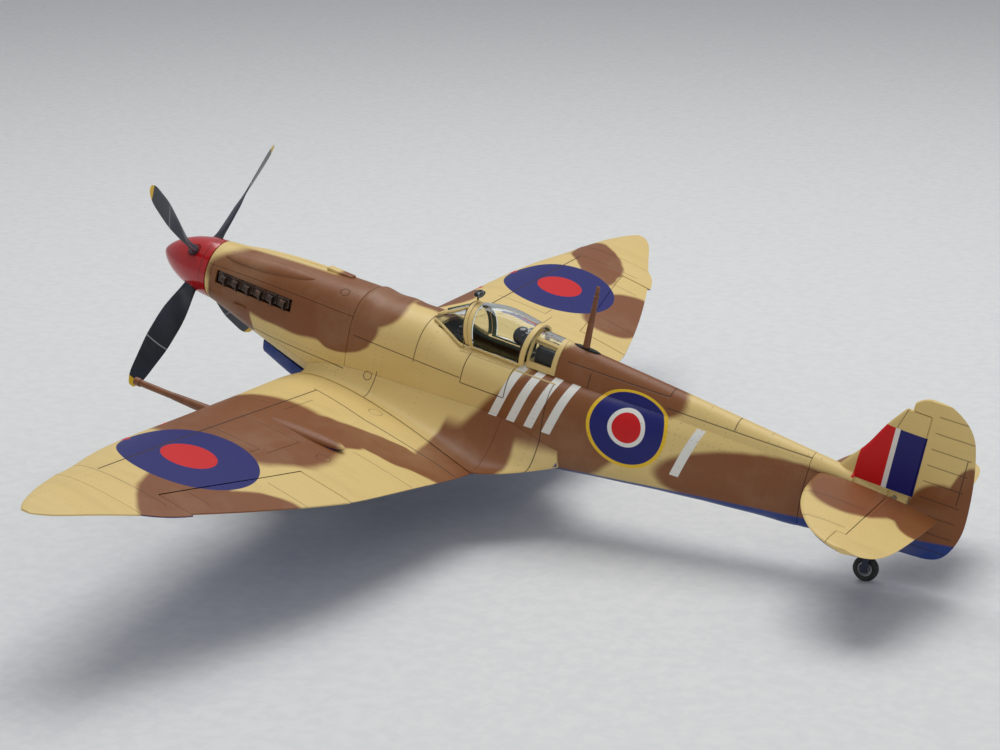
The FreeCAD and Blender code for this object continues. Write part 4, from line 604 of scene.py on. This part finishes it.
def strip(mesh, points, radius=0.3, flat=0.0):
    """A smooth rod, or a flat strap when flat is its half width, through datum points."""
    path = bpy.data.curves.new("path", "CURVE")
    path.dimensions = "3D"
    path.bevel_depth = radius
    path.bevel_resolution = 3
    path.extrude = flat
    path.use_fill_caps = True
    path.resolution_u = 6
    spline = path.splines.new("NURBS")
    spline.points.add(len(points) - 1)
    for spot, point in zip(spline.points, points):
        spot.co = (*point, 1.0)
    spline.use_endpoint_u = True
    spline.order_u = 3
    holder = bpy.data.objects.new("path", path)
    made = bpy.data.meshes.new_from_object(holder)
    mesh.from_mesh(made)
    bpy.data.meshes.remove(made)
    bpy.data.objects.remove(holder)
    bpy.data.curves.remove(path)


def blister(mesh, centre, radii):
    """A smooth half-sunk bump."""
    bmesh.ops.create_uvsphere(mesh, u_segments=32, v_segments=16, radius=1.0,
                              matrix=Matrix.Translation(centre) @ Matrix.Diagonal((*radii, 1.0)))


def disc(mesh, centre, radius, sides):
    """A thin round plate facing forward."""
    bmesh.ops.create_cone(mesh, cap_ends=True, segments=sides, radius1=radius, radius2=radius,
                          depth=0.2, matrix=Matrix.Translation(centre)
                          @ Matrix.Rotation(math.pi / 2, 4, "Y"))


def only(kind, parts):
    """The parts of one kind: vertices or edges."""
    return [part for part in parts if isinstance(part, kind)]


def drawn_from(mesh, edges):
    """Draws a new loop out of a loop of edges; gives the new edges and vertices."""
    parts = bmesh.ops.extrude_edge_only(mesh, edges=edges)["geom"]
    return only(bmesh.types.BMEdge, parts), only(bmesh.types.BMVert, parts)


def dress(material, *names):
    """Gives CAD nodes a finish."""
    for name in names:
        data = NODES[name].data
        data.materials.clear()
        data.materials.append(material)


def both(*names):
    return [name + side for name in names for side in ("_left", "_right")]


# ------------------------------------------------------------------ settings
class PaintShop(bpy.types.PropertyGroup):
    """Colours of the scheme."""

    sand: colour("Sand", "Pale colour of the upper surfaces", (226, 197, 128))
    brown: colour("Brown", "Dark colour of the upper surfaces", (134, 82, 46))
    azure: colour("Azure", "Colour of the undersides", (36, 62, 132))
    spinner: colour("Spinner", "Colour of the spinner", (182, 6, 10))
    blade: colour("Blades", "Colour of the propeller blades", (30, 36, 48))
    yellow: colour("Yellow", "Blade tips and outer ring of the side roundel", (236, 192, 40))
    blue: colour("Roundel blue", "Blue of the markings", (24, 28, 106))
    red: colour("Roundel red", "Red of the markings", (208, 18, 22))
    white: colour("White", "White of the markings", (232, 230, 222))


class FitterShop(bpy.types.PropertyGroup):
    """Sizes of the detail parts, in datum millimetres."""

    tyre_grooves: bpy.props.IntProperty(
        name="Tyre grooves", description="Grooves round each main tyre", default=3, min=0, max=5)
    spokes: bpy.props.IntProperty(
        name="Wheel spokes", description="Spokes of each main wheel", default=5, min=3, max=8)
    strap_width: bpy.props.FloatProperty(
        name="Strap width", description="Width of the seat harness straps, millimetres",
        default=1.5, min=0.5, max=3.0)


class Studio(bpy.types.PropertyGroup):
    """Stage and light."""

    floor: colour("Floor", "Colour of the floor", (226, 226, 224))
    key: bpy.props.FloatProperty(
        name="Overhead lamp", description="Power of the large overhead lamp", default=9.0,
        min=0.0, unit="POWER")
    side: bpy.props.FloatProperty(
        name="Side lamp", description="Power of the lamp beside the camera", default=2.2,
        min=0.0, unit="POWER")
    world: bpy.props.FloatProperty(
        name="Room light", description="Brightness of the room", default=0.42, min=0.0)


# ------------------------------------------------------------------ operators
class FIGHTER_OT_camera(bpy.types.Operator):
    """Place the camera on the port quarter"""

    bl_idname = "fighter.camera"
    bl_label = "Camera"

    def execute(self, context):
        lens = bpy.data.cameras.new("camera")
        lens.lens, lens.sensor_width = 83.33, 36.0
        lens.shift_x, lens.shift_y = -0.0021, 0.0077
        lens.clip_start, lens.clip_end = 0.01, 20.0
        camera = bpy.data.objects.new("camera", lens)
        camera.location = (0.3417, -0.6431, 0.2608)
        look = Vector((-0.4634, 0.8405, -0.2810))
        camera.rotation_euler = look.to_track_quat("-Z", "Y").to_euler()
        context.scene.collection.objects.link(camera)
        context.scene.camera = camera
        return {"FINISHED"}


class FIGHTER_OT_stage(bpy.types.Operator):
    """Lay the floor and hang the lamps"""

    bl_idname = "fighter.stage"
    bl_label = "Stage"

    def execute(self, context):
        scene = context.scene
        studio = scene.fighter_studio
        scene.view_settings.view_transform = "Standard"
        mesh = bmesh.new()
        bmesh.ops.create_circle(mesh, cap_ends=True, segments=96, radius=6.0)
        data = bpy.data.meshes.new("floor")
        mesh.to_mesh(data)
        mesh.free()
        floor = bpy.data.objects.new("floor", data)
        scene.collection.objects.link(floor)
        floor.data.materials.append(make_plain(
            "floor_finish", studio.floor, tint(219, 220, 219), 0.6, grain=0.2, depth=0.02))
        lamps = (("overhead", studio.key, 0.9, (-0.12, 0.32, 1.15), (0.0, 0.0, 0.03)),
                 ("beside", studio.side, 0.9, (0.75, -1.05, 0.75), (0.0, 0.0, 0.04)))
        for name, power, across, place, target in lamps:
            light = bpy.data.lights.new(name, "AREA")
            light.energy = power
            light.size = across
            lamp = bpy.data.objects.new(name, light)
            lamp.location = place
            lamp.rotation_euler = (Vector(target) - Vector(place)).to_track_quat(
                "-Z", "Y").to_euler()
            scene.collection.objects.link(lamp)
        world = bpy.data.worlds.new("room")
        world.use_nodes = True
        sky = world.node_tree.nodes["Background"].inputs
        sky["Color"].default_value = tint(236, 240, 246)
        sky["Strength"].default_value = studio.world
        scene.world = world
        return {"FINISHED"}


class FIGHTER_OT_paint(bpy.types.Operator):
    """Paint and finish the airframe's nodes"""

    bl_idname = "fighter.paint"
    bl_label = "Paint"

    def execute(self, context):
        shop = context.scene.fighter_paint
        side = make_side_paint(shop)
        dress(side, "cowl_top", "cowl_left", "cowl_right", "cowl_lower", "fuselage_left",
              "fuselage_right", "tail_unit", "rudder", "windscreen_frame", "hood_frame",
              "cockpit_door", "tail_strut")
        dress(make_rear_window(shop), "rear_glazing")
        dress(make_plain("mast_paint", shop.brown, tint(118, 70, 40), 0.4), "radio_mast",
              *both("cannon"))
        dress(make_side_paint(shop, "fillet_paint"), *both("fillet"))
        dress(make_wing_paint(shop), *both("wing_upper", "wing_tip", "aileron"))
        dress(make_tail_paint(shop), *both("tailplane", "elevator"))
        dress(make_under_paint(shop), "wing_lower", "carb_intake",
              *both("radiator", "flap", "gear_door"))
        dress(make_spinner_paint(shop), "spinner")
        dress(make_blade_paint(shop), "propeller_blades")
        dress(make_glass(), "windscreen_glass", "hood_glass")
        black = make_plain("black_crackle", tint(26, 26, 28), tint(34, 34, 36), 0.42, grain=1.0)
        dress(black, "instrument_panel", "control_column")
        dress(make_plain("black_gloss", tint(14, 14, 16), tint(22, 22, 26), 0.12, grain=0.1,
                         Coat_Weight=0.6), "armour_headrest")
        green = make_plain("cockpit_green_paint", tint(96, 112, 74), tint(78, 94, 60), 0.5)
        dress(green, "cockpit_floor", "seat", "firewall")
        silver = make_plain("silver_paint", tint(176, 178, 180), tint(150, 152, 156), 0.36, 0.75)
        dress(silver, "elevator_tube", *both("gear_leg"))
        dress(make_plain("fork_blue", tint(30, 36, 58), tint(44, 50, 70), 0.35), "tail_fork")
        dress(make_plain("engine_metal", tint(40, 42, 46), tint(72, 72, 74), 0.45, 0.6),
              "engine_block", "propeller_hub")
        return {"FINISHED"}


class FIGHTER_OT_wheels(bpy.types.Operator):
    """Fit grooved tyres and spoked hubs to the main and tail wheels"""

    bl_idname = "fighter.wheels"
    bl_label = "Wheels"

    def execute(self, context):
        fitter = context.scene.fighter_fitter
        rubber = make_plain("tyre_rubber", tint(30, 30, 31), tint(50, 48, 45), 0.6, grain=1.0)
        alloy = make_plain("wheel_alloy", tint(178, 180, 182), tint(150, 151, 153), 0.34, 0.8)
        for side, sign in (("left", -1), ("right", 1)):
            low, high = datum_box("main_tyre_" + side)
            centre = (low + high) / 2
            self.tyre("tyre_" + side, "wheel_" + side, "main_tyre_" + side, centre, 9.45, 5.55,
                      2.75, fitter.tyre_grooves, rubber)
            self.hub("hub_" + side, "wheel_" + side, "main_wheel_" + side, centre, 5.6, 2.7, 0.98,
                     fitter.spokes, sign, alloy)
        low, high = datum_box("tail_wheel")
        centre = (low + high) / 2
        self.tyre("tail_tyre", "tail_roller", "tail_wheel", centre, 4.1, 2.3, 1.28, 2, rubber)
        self.hub("tail_hub", "tail_roller", None, centre, 2.34, 1.1, 0.56, 6, 1, alloy)
        return {"FINISHED"}

    @staticmethod
    def tyre(name, body, node, centre, reach, bead, half, grooves, material):
        mesh = bmesh.new()
        wall = reach - bead
        side = [(0.7, bead), (0.92, bead + 0.12 * wall), (1.0, bead + 0.5 * wall),
                (0.92, bead + 0.78 * wall), (0.66, reach - 0.06 * wall)]
        tread = []
        for k in range(grooves):
            middle = half * (k - (grooves - 1) / 2) * 0.34
            for shift, drop in ((0.07, 0.0), (0.05, 0.05), (-0.05, 0.05), (-0.07, 0.0)):
                crown = reach * (1 - 0.012 * (middle / half) ** 2)
                tread.append((middle + shift * half, crown - drop * wall))
        tread = sorted(tread, key=lambda spot: -spot[0])
        profile = [(half * share, r) for share, r in side] + tread
        profile += [(-half * share, r) for share, r in side[::-1]]
        ring_of(mesh, profile, centre)
        made = piece(name, mesh, body, material, angle=50)
        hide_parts(node)

    @staticmethod
    def hub(name, body, node, centre, reach, half, bore, spokes, sign, material):
        mesh = bmesh.new()
        rim = [(-half, reach), (half, reach), (half, reach - 0.3), (half * 0.8, reach - 0.55),
               (half * 0.55, reach * 0.8), (-half * 0.55, reach * 0.8),
               (-half * 0.8, reach - 0.55), (-half, reach - 0.3)]
        ring_of(mesh, rim, centre)
        boss = [(-half, bore), (-half, bore + 0.45), (-half * 0.3, bore + 1.0),
                (half * 0.3, bore + 1.0), (half, bore + 0.45), (half, bore)]
        ring_of(mesh, boss, centre, steps=40)
        reach_in, reach_out = bore + 0.6, reach * 0.82
        for k in range(spokes):
            angle = math.tau * k / spokes
            middle = (reach_in + reach_out) / 2
            place = Vector((math.cos(angle) * middle, 0, math.sin(angle) * middle))
            slab(mesh, centre + place, (reach_out - reach_in, half * 0.55, reach * 0.2),
                 Matrix.Rotation(-angle, 4, "Y"), 0.14 * reach / 5.6)
            out = Vector((math.cos(angle + 0.6), 0, math.sin(angle + 0.6)))
            bolt = centre + out * (bore + 0.72)
            rod_of(mesh, bolt, bolt + Vector((0, sign * half * 0.52, 0)), 0.16, sides=8)
        made = piece(name, mesh, body, material)
        if node:
            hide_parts(node)


class FIGHTER_OT_exhausts(bpy.types.Operator):
    """Bend six hollow ejector stubs for each side of the engine"""

    bl_idname = "fighter.exhausts"
    bl_label = "Exhausts"

    def execute(self, context):
        metal = make_exhaust_metal()
        for side, sign in (("left", -1), ("right", 1)):
            low, high = datum_box("exhausts_" + side)
            pitch = (high.x - low.x) / STUBS
            mesh = bmesh.new()
            for k in range(STUBS):
                front = low.x + pitch * k
                skin = touch("cowl_" + side, (front + 1.4, sign * 30, 4.4), (0, -sign, 0)).y
                self.stub(mesh, Vector((front + 1.5, skin + sign * 0.15, 1.9)), sign)
            made = piece("stubs_" + side, mesh, "airframe", metal, angle=40)
            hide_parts("exhausts_" + side)
        return {"FINISHED"}

    @staticmethod
    def stub(mesh, foot, sign):
        """One stub: flange and bolts, a bend from outboard to aft, and a slotted mouth."""
        slab(mesh, foot + Vector((0.6, 0, 0)), (4.9, 0.7, 3.5), bevel=0.25)
        for along in (-1.2, 2.4):
            bolt = foot + Vector((along, sign * 0.25, 1.3))
            rod_of(mesh, bolt, bolt + Vector((0, sign * 0.35, 0)), 0.22, sides=6)
        place = Matrix.Translation(foot) @ Matrix.Rotation(math.pi / 2, 4, "X")
        ring = bmesh.ops.create_circle(mesh, segments=20, radius=0.95,
                                       matrix=place @ Matrix.Diagonal((1.1, 1.3, 1.0, 1.0)))
        edges = list({edge for spot in ring["verts"] for edge in spot.link_edges})
        bend, sweep = math.radians(76), 1.75
        made = bmesh.ops.spin(mesh, geom=ring["verts"] + edges, cent=foot + Vector((sweep, 0, 0)),
                              axis=(0, 0, -sign), angle=bend, steps=7)
        edges = only(bmesh.types.BMEdge, made["geom_last"])
        aft = Vector((math.sin(bend), sign * math.cos(bend), 0))
        rim, spots = drawn_from(mesh, edges)
        bmesh.ops.translate(mesh, verts=spots, vec=aft * 1.2 + Vector((0, 0, -0.35)))
        middle = sum((spot.co for spot in spots), Vector()) / len(spots)
        bmesh.ops.scale(mesh, verts=spots, vec=(0.8, 0.68, 1.45),
                        space=Matrix.Translation(-middle))
        rim, spots = drawn_from(mesh, rim)
        bmesh.ops.scale(mesh, verts=spots, vec=(0.8, 0.66, 0.84),
                        space=Matrix.Translation(-middle))
        rim, spots = drawn_from(mesh, rim)
        bmesh.ops.translate(mesh, verts=spots, vec=-aft * 1.2)
        bmesh.ops.contextual_create(mesh, geom=rim)


class FIGHTER_OT_fairings(bpy.types.Operator):
    """Fit the small fairings of the cowling, the mast's shoe and the propeller's blade seals"""

    bl_idname = "fighter.fairings"
    bl_label = "Fairings"

    def execute(self, context):
        shop = context.scene.fighter_paint
        paint = make_side_paint(shop, "fairing_paint")
        mesh = bmesh.new()
        for sign, side in ((-1, "left"), (1, "right")):
            spot = touch("cowl_" + side, (40.5, sign * 30, -5.2), (0, -sign, 0))
            slab(mesh, spot + Vector((0, 0, -0.2)), (5.4, 1.7, 0.9), bevel=0.36, segments=4)
        piece("cowl_blisters", mesh, "airframe", paint)
        top = touch("cowl_top", (70.5, 2.6, 40), (0, 0, -1))
        mesh = bmesh.new()
        slab(mesh, top + Vector((0, 0, 0.35)), (10.4, 3.0, 1.3), Matrix.Rotation(0.05, 4, "Y"),
             0.5, 4)
        piece("cowl_hump", mesh, "airframe", paint)
        low, high = datum_box("radio_mast")
        foot = touch("fuselage_left", ((low.x + high.x) / 2 + 2.6, -0.4, 40), (0, 0, -1))
        mesh = bmesh.new()
        slope = Matrix.Rotation(0.035, 4, "Y")
        for reach, height in ((1.0, 0.0), (0.86, 0.18)):
            place = Matrix.Translation(Vector((166.6, 0, foot.z + 0.12 + height))) @ slope
            bmesh.ops.create_cone(mesh, cap_ends=True, segments=48, radius1=5.0 * reach,
                                  radius2=4.8 * reach, depth=0.3,
                                  matrix=place @ Matrix.Diagonal((1.0, 0.27, 1.0, 1.0)))
        bmesh.ops.translate(mesh, verts=mesh.verts, vec=(0, 0, 0.05))
        piece("mast_shoe", mesh, "airframe", make_plain(
            "shoe_metal", tint(30, 30, 32), tint(60, 58, 56), 0.25, 0.7))
        mesh = bmesh.new()
        for share in (0.66, 0.84):
            height = foot.z + share * (high.z - foot.z)
            blister(mesh, (166.15, 0, height), (1.05, 0.75, 0.35))
        piece("mast_collars", mesh, "airframe",
              NODES["radio_mast"].data.materials[0])
        mesh = bmesh.new()
        phase = min((self.angle(vertex) for vertex in NODES["propeller_blades"].data.vertices),
                    key=lambda found: -found[0])[1]
        for k in range(BLADES):
            turn = Matrix.Rotation(phase + k * math.tau / BLADES, 4, "X")
            sleeve = bmesh.new()
            ring_of(sleeve, [(5.0, 2.34), (10.6, 2.34), (10.6, 2.6), (5.0, 2.6)],
                    (BLADE_PLANE, 0, 0), "Z", 40)
            parts = sleeve.verts[:] + sleeve.edges[:] + sleeve.faces[:]
            bmesh.ops.bisect_plane(sleeve, geom=parts, plane_co=(BLADE_PLANE, 0, 9.72),
                                   plane_no=(-0.2, 0, 0.98), clear_outer=True)
            bmesh.ops.holes_fill(sleeve, edges=sleeve.edges)
            sleeve.transform(turn)
            copy = bpy.data.meshes.new("sleeve")
            sleeve.to_mesh(copy)
            sleeve.free()
            mesh.from_mesh(copy)
            bpy.data.meshes.remove(copy)
        piece("blade_seals", mesh, "propeller",
              NODES["spinner"].data.materials[0])
        return {"FINISHED"}

    @staticmethod
    def angle(vertex):
        """A blade point's distance from the shaft and its angle about it, from straight up."""
        spot = TO_ROW.inverted() @ vertex.co
        return math.hypot(spot.y, spot.z), math.atan2(-spot.y, spot.z)


class FIGHTER_OT_canopy(bpy.types.Operator):
    """Frame the windscreen, lay the hood rails and hang the mirror glass"""

    bl_idname = "fighter.canopy"
    bl_label = "Canopy frames"

    def execute(self, context):
        shop = context.scene.fighter_paint
        frame_paint = make_plain("frame_paint", shop.sand, tint(206, 180, 118), 0.4)
        back = TO_ROW.inverted()
        glass = [back @ vertex.co for vertex in NODES["windscreen_glass"].data.vertices]
        mesh = bmesh.new()
        for sign in (-1, 1):
            foot = []
            for station in (113.1, 116.0, 119.0, 122.0, 124.6, 126.8):
                near = [spot for spot in glass
                        if abs(spot.x - station) < 1.3 and spot.y * sign > 0]
                low = min(near, key=lambda spot: spot.z - 0.15 * abs(spot.y))
                foot.append((station, low.y + sign * 0.05, low.z + 0.35))
            strip(mesh, foot, 0.55)
            post = []
            for share in (0.0, 0.35, 0.7, 1.0):
                spot = Vector((113.1 + 9.9 * share, sign * (3.4 + 1.0 * share), 0))
                post.append(touch("windscreen_glass", spot + Vector((0, 0, 40)), (0, 0, -1)))
            strip(mesh, post, 0.5)
        front = [touch("windscreen_glass", (100, across, 13.9 - 0.04 * across * across), (1, 0, 0))
                 for across in (-4.2, -2.4, 0, 2.4, 4.2)]
        strip(mesh, front, 0.45)
        piece("windscreen_trim", mesh, "airframe", frame_paint)
        door, port, starboard = bmesh.new(), bmesh.new(), bmesh.new()
        for sign, node, rail, first, last in (
                (-1, "fuselage_left", port, 126.4, 130.1),
                (-1, "cockpit_door", door, 131.0, 146.0),
                (-1, "fuselage_left", port, 146.9, 162.0),
                (1, "fuselage_right", starboard, 126.4, 162.0)):
            path = [touch(node, (first + (last - first) * k / 4, sign * 30, RAIL_HEIGHT),
                          (0, -sign, 0)) for k in range(5)]
            strip(rail, path, 0.24)
        piece("rail_port", port, "airframe", frame_paint)
        piece("rail_door", door, "door", frame_paint)
        piece("rail_starboard", starboard, "airframe", frame_paint)
        mesh = bmesh.new()
        ring_of(mesh, [(0.0, 2.35), (0.5, 2.35), (0.5, 2.55), (0.0, 2.55)],
                (125.2, 0, 24.35), "X", 40)
        disc(mesh, (125.45, 0, 24.35), 2.36, 40)
        bmesh.ops.scale(mesh, verts=mesh.verts, vec=(1, 1, 0.44),
                        space=Matrix.Translation((0, 0, -24.35)))
        piece("mirror_glass", mesh, "airframe", make_plain(
            "mirror_silver", tint(92, 96, 100), tint(70, 74, 78), 0.16, 0.9, grain=0.1))
        return {"FINISHED"}


class FIGHTER_OT_cockpit(bpy.types.Operator):
    """Fit out the cockpit: harness, gauges, gun sight and side consoles"""

    bl_idname = "fighter.cockpit"
    bl_label = "Cockpit"

    def execute(self, context):
        fitter = context.scene.fighter_fitter
        webbing = make_plain("webbing", tint(176, 160, 118), tint(150, 134, 96), 0.75, grain=1.0)
        half = fitter.strap_width / 2
        mesh = bmesh.new()
        for side in (-1, 1):
            strip(mesh, [(144.6, side * 1.4, 3.2), (143.4, side * 1.5, 2.6),
                         (142.9, side * 1.6, 0.0), (142.6, side * 1.8, -4.0),
                         (140.5, side * 1.9, -8.4), (137.6, side * 1.2, -8.6)], 0.1, half)
            strip(mesh, [(141.5, side * 4.2, -5.6), (139.5, side * 3.2, -8.0),
                         (138.2, side * 0.9, -8.4)], 0.1, half)
        slab(mesh, (138.0, 0, -8.2), (1.6, 1.6, 0.4), bevel=0.12)
        piece("harness", mesh, "airframe", webbing)
        mesh = bmesh.new()
        for across in (-5.0, -1.7, 1.7, 5.0):
            for up in (2.1, 5.1):
                ring_of(mesh, [(0.0, 1.0), (0.42, 1.0), (0.42, 1.2), (0.0, 1.2)],
                        (119.8, across, up), "X", 28)
                disc(mesh, (119.9, across, up), 1.02, 28)
        piece("gauges", mesh, "airframe", make_dial_face())
        black = make_plain("fitting_black", tint(24, 24, 26), tint(40, 40, 42), 0.35, grain=0.6)
        mesh = bmesh.new()
        slab(mesh, (120.6, 0, 9.0), (2.6, 2.0, 1.8), bevel=0.3)
        rod_of(mesh, (120.6, 0, 9.6), (120.6, 0, 11.2), 0.95)
        for across in (-1.1, 1.1):
            slab(mesh, (121.6, across, 11.2), (0.4, 0.25, 2.6), bevel=0.08)
        piece("gun_sight", mesh, "airframe", black)
        mesh = bmesh.new()
        for side in (-1, 1):
            slab(mesh, (131, side * 8.9, -4.4), (18, 1.5, 3.2), bevel=0.3)
            for k in range(5):
                along = 124.5 + 3.1 * k
                rod_of(mesh, (along, side * 8.7, -3.0), (along, side * 8.4, -1.9), 0.36, sides=12)
            strip(mesh, [(122, side * 9.4, -1.0), (128, side * 9.6, 0.6), (135, side * 9.5, 0.2),
                         (143, side * 8.8, 1.2)], 0.28)
        rod_of(mesh, (126.5, -8.2, -2.8), (127.6, -7.9, 0.6), 0.3)
        blister(mesh, (127.7, -7.9, 0.9), (0.6, 0.6, 0.6))
        piece("side_consoles", mesh, "airframe", black)
        # A black block under the rear window, with two rails on top: painted shade standing in for
        # the dark interior behind the seat.
        mesh = bmesh.new()
        slab(mesh, (154.4, 0, 12.2), (8.2, 8.6, 6.4), bevel=1.4, segments=4)
        for side in (-1, 1):
            strip(mesh, [(150.8, side * 2.6, 15.6), (154, side * 2.8, 16.2),
                         (157.6, side * 2.6, 15.4)], 0.3)
        piece("rear_shade_block", mesh, "airframe", black)
        mesh = bmesh.new()
        for sign, side in ((-1, "left"), (1, "right")):
            low, high = datum_box("radiator_" + side)
            middle = (low.y + high.y) / 2
            slab(mesh, (low.x + 4.4, middle, low.z + 3.4), (0.5, 15.4, 4.6), bevel=0.1)
            slab(mesh, (high.x - 3.6, middle, low.z + 3.2), (0.5, 15.4, 4.0), bevel=0.1)
        piece("radiator_cores", mesh, "airframe", make_matrix())
        return {"FINISHED"}


OPERATORS = [FIGHTER_OT_camera, FIGHTER_OT_stage, FIGHTER_OT_paint, FIGHTER_OT_wheels,
             FIGHTER_OT_exhausts, FIGHTER_OT_fairings, FIGHTER_OT_canopy, FIGHTER_OT_cockpit]
GROUPS = {"fighter_paint": PaintShop, "fighter_fitter": FitterShop, "fighter_studio": Studio}


class FIGHTER_PT_shop(bpy.types.Panel):
    """Every job of the finishing shop, in order"""

    bl_label = "Fighter"
    bl_idname = "FIGHTER_PT_shop"
    bl_space_type = "VIEW_3D"
    bl_region_type = "UI"
    bl_category = "Fighter"

    def draw(self, context):
        for attribute, group in GROUPS.items():
            box = self.layout.box()
            for name in group.__annotations__:
                box.prop(getattr(context.scene, attribute), name)
        for job in OPERATORS:
            self.layout.operator(job.bl_idname)


def register():
    for kind in (*GROUPS.values(), *OPERATORS, FIGHTER_PT_shop):
        bpy.utils.register_class(kind)
    for attribute, group in GROUPS.items():
        setattr(bpy.types.Scene, attribute, bpy.props.PointerProperty(type=group))


def unregister():
    for attribute in GROUPS:
        delattr(bpy.types.Scene, attribute)
    for kind in (FIGHTER_PT_shop, *reversed(OPERATORS), *reversed(GROUPS.values())):
        bpy.utils.unregister_class(kind)


def main():
    register()
    for job in OPERATORS:
        area, name = job.bl_idname.split(".")
        getattr(getattr(bpy.ops, area), name)()


if __name__ == "__main__":
    main()
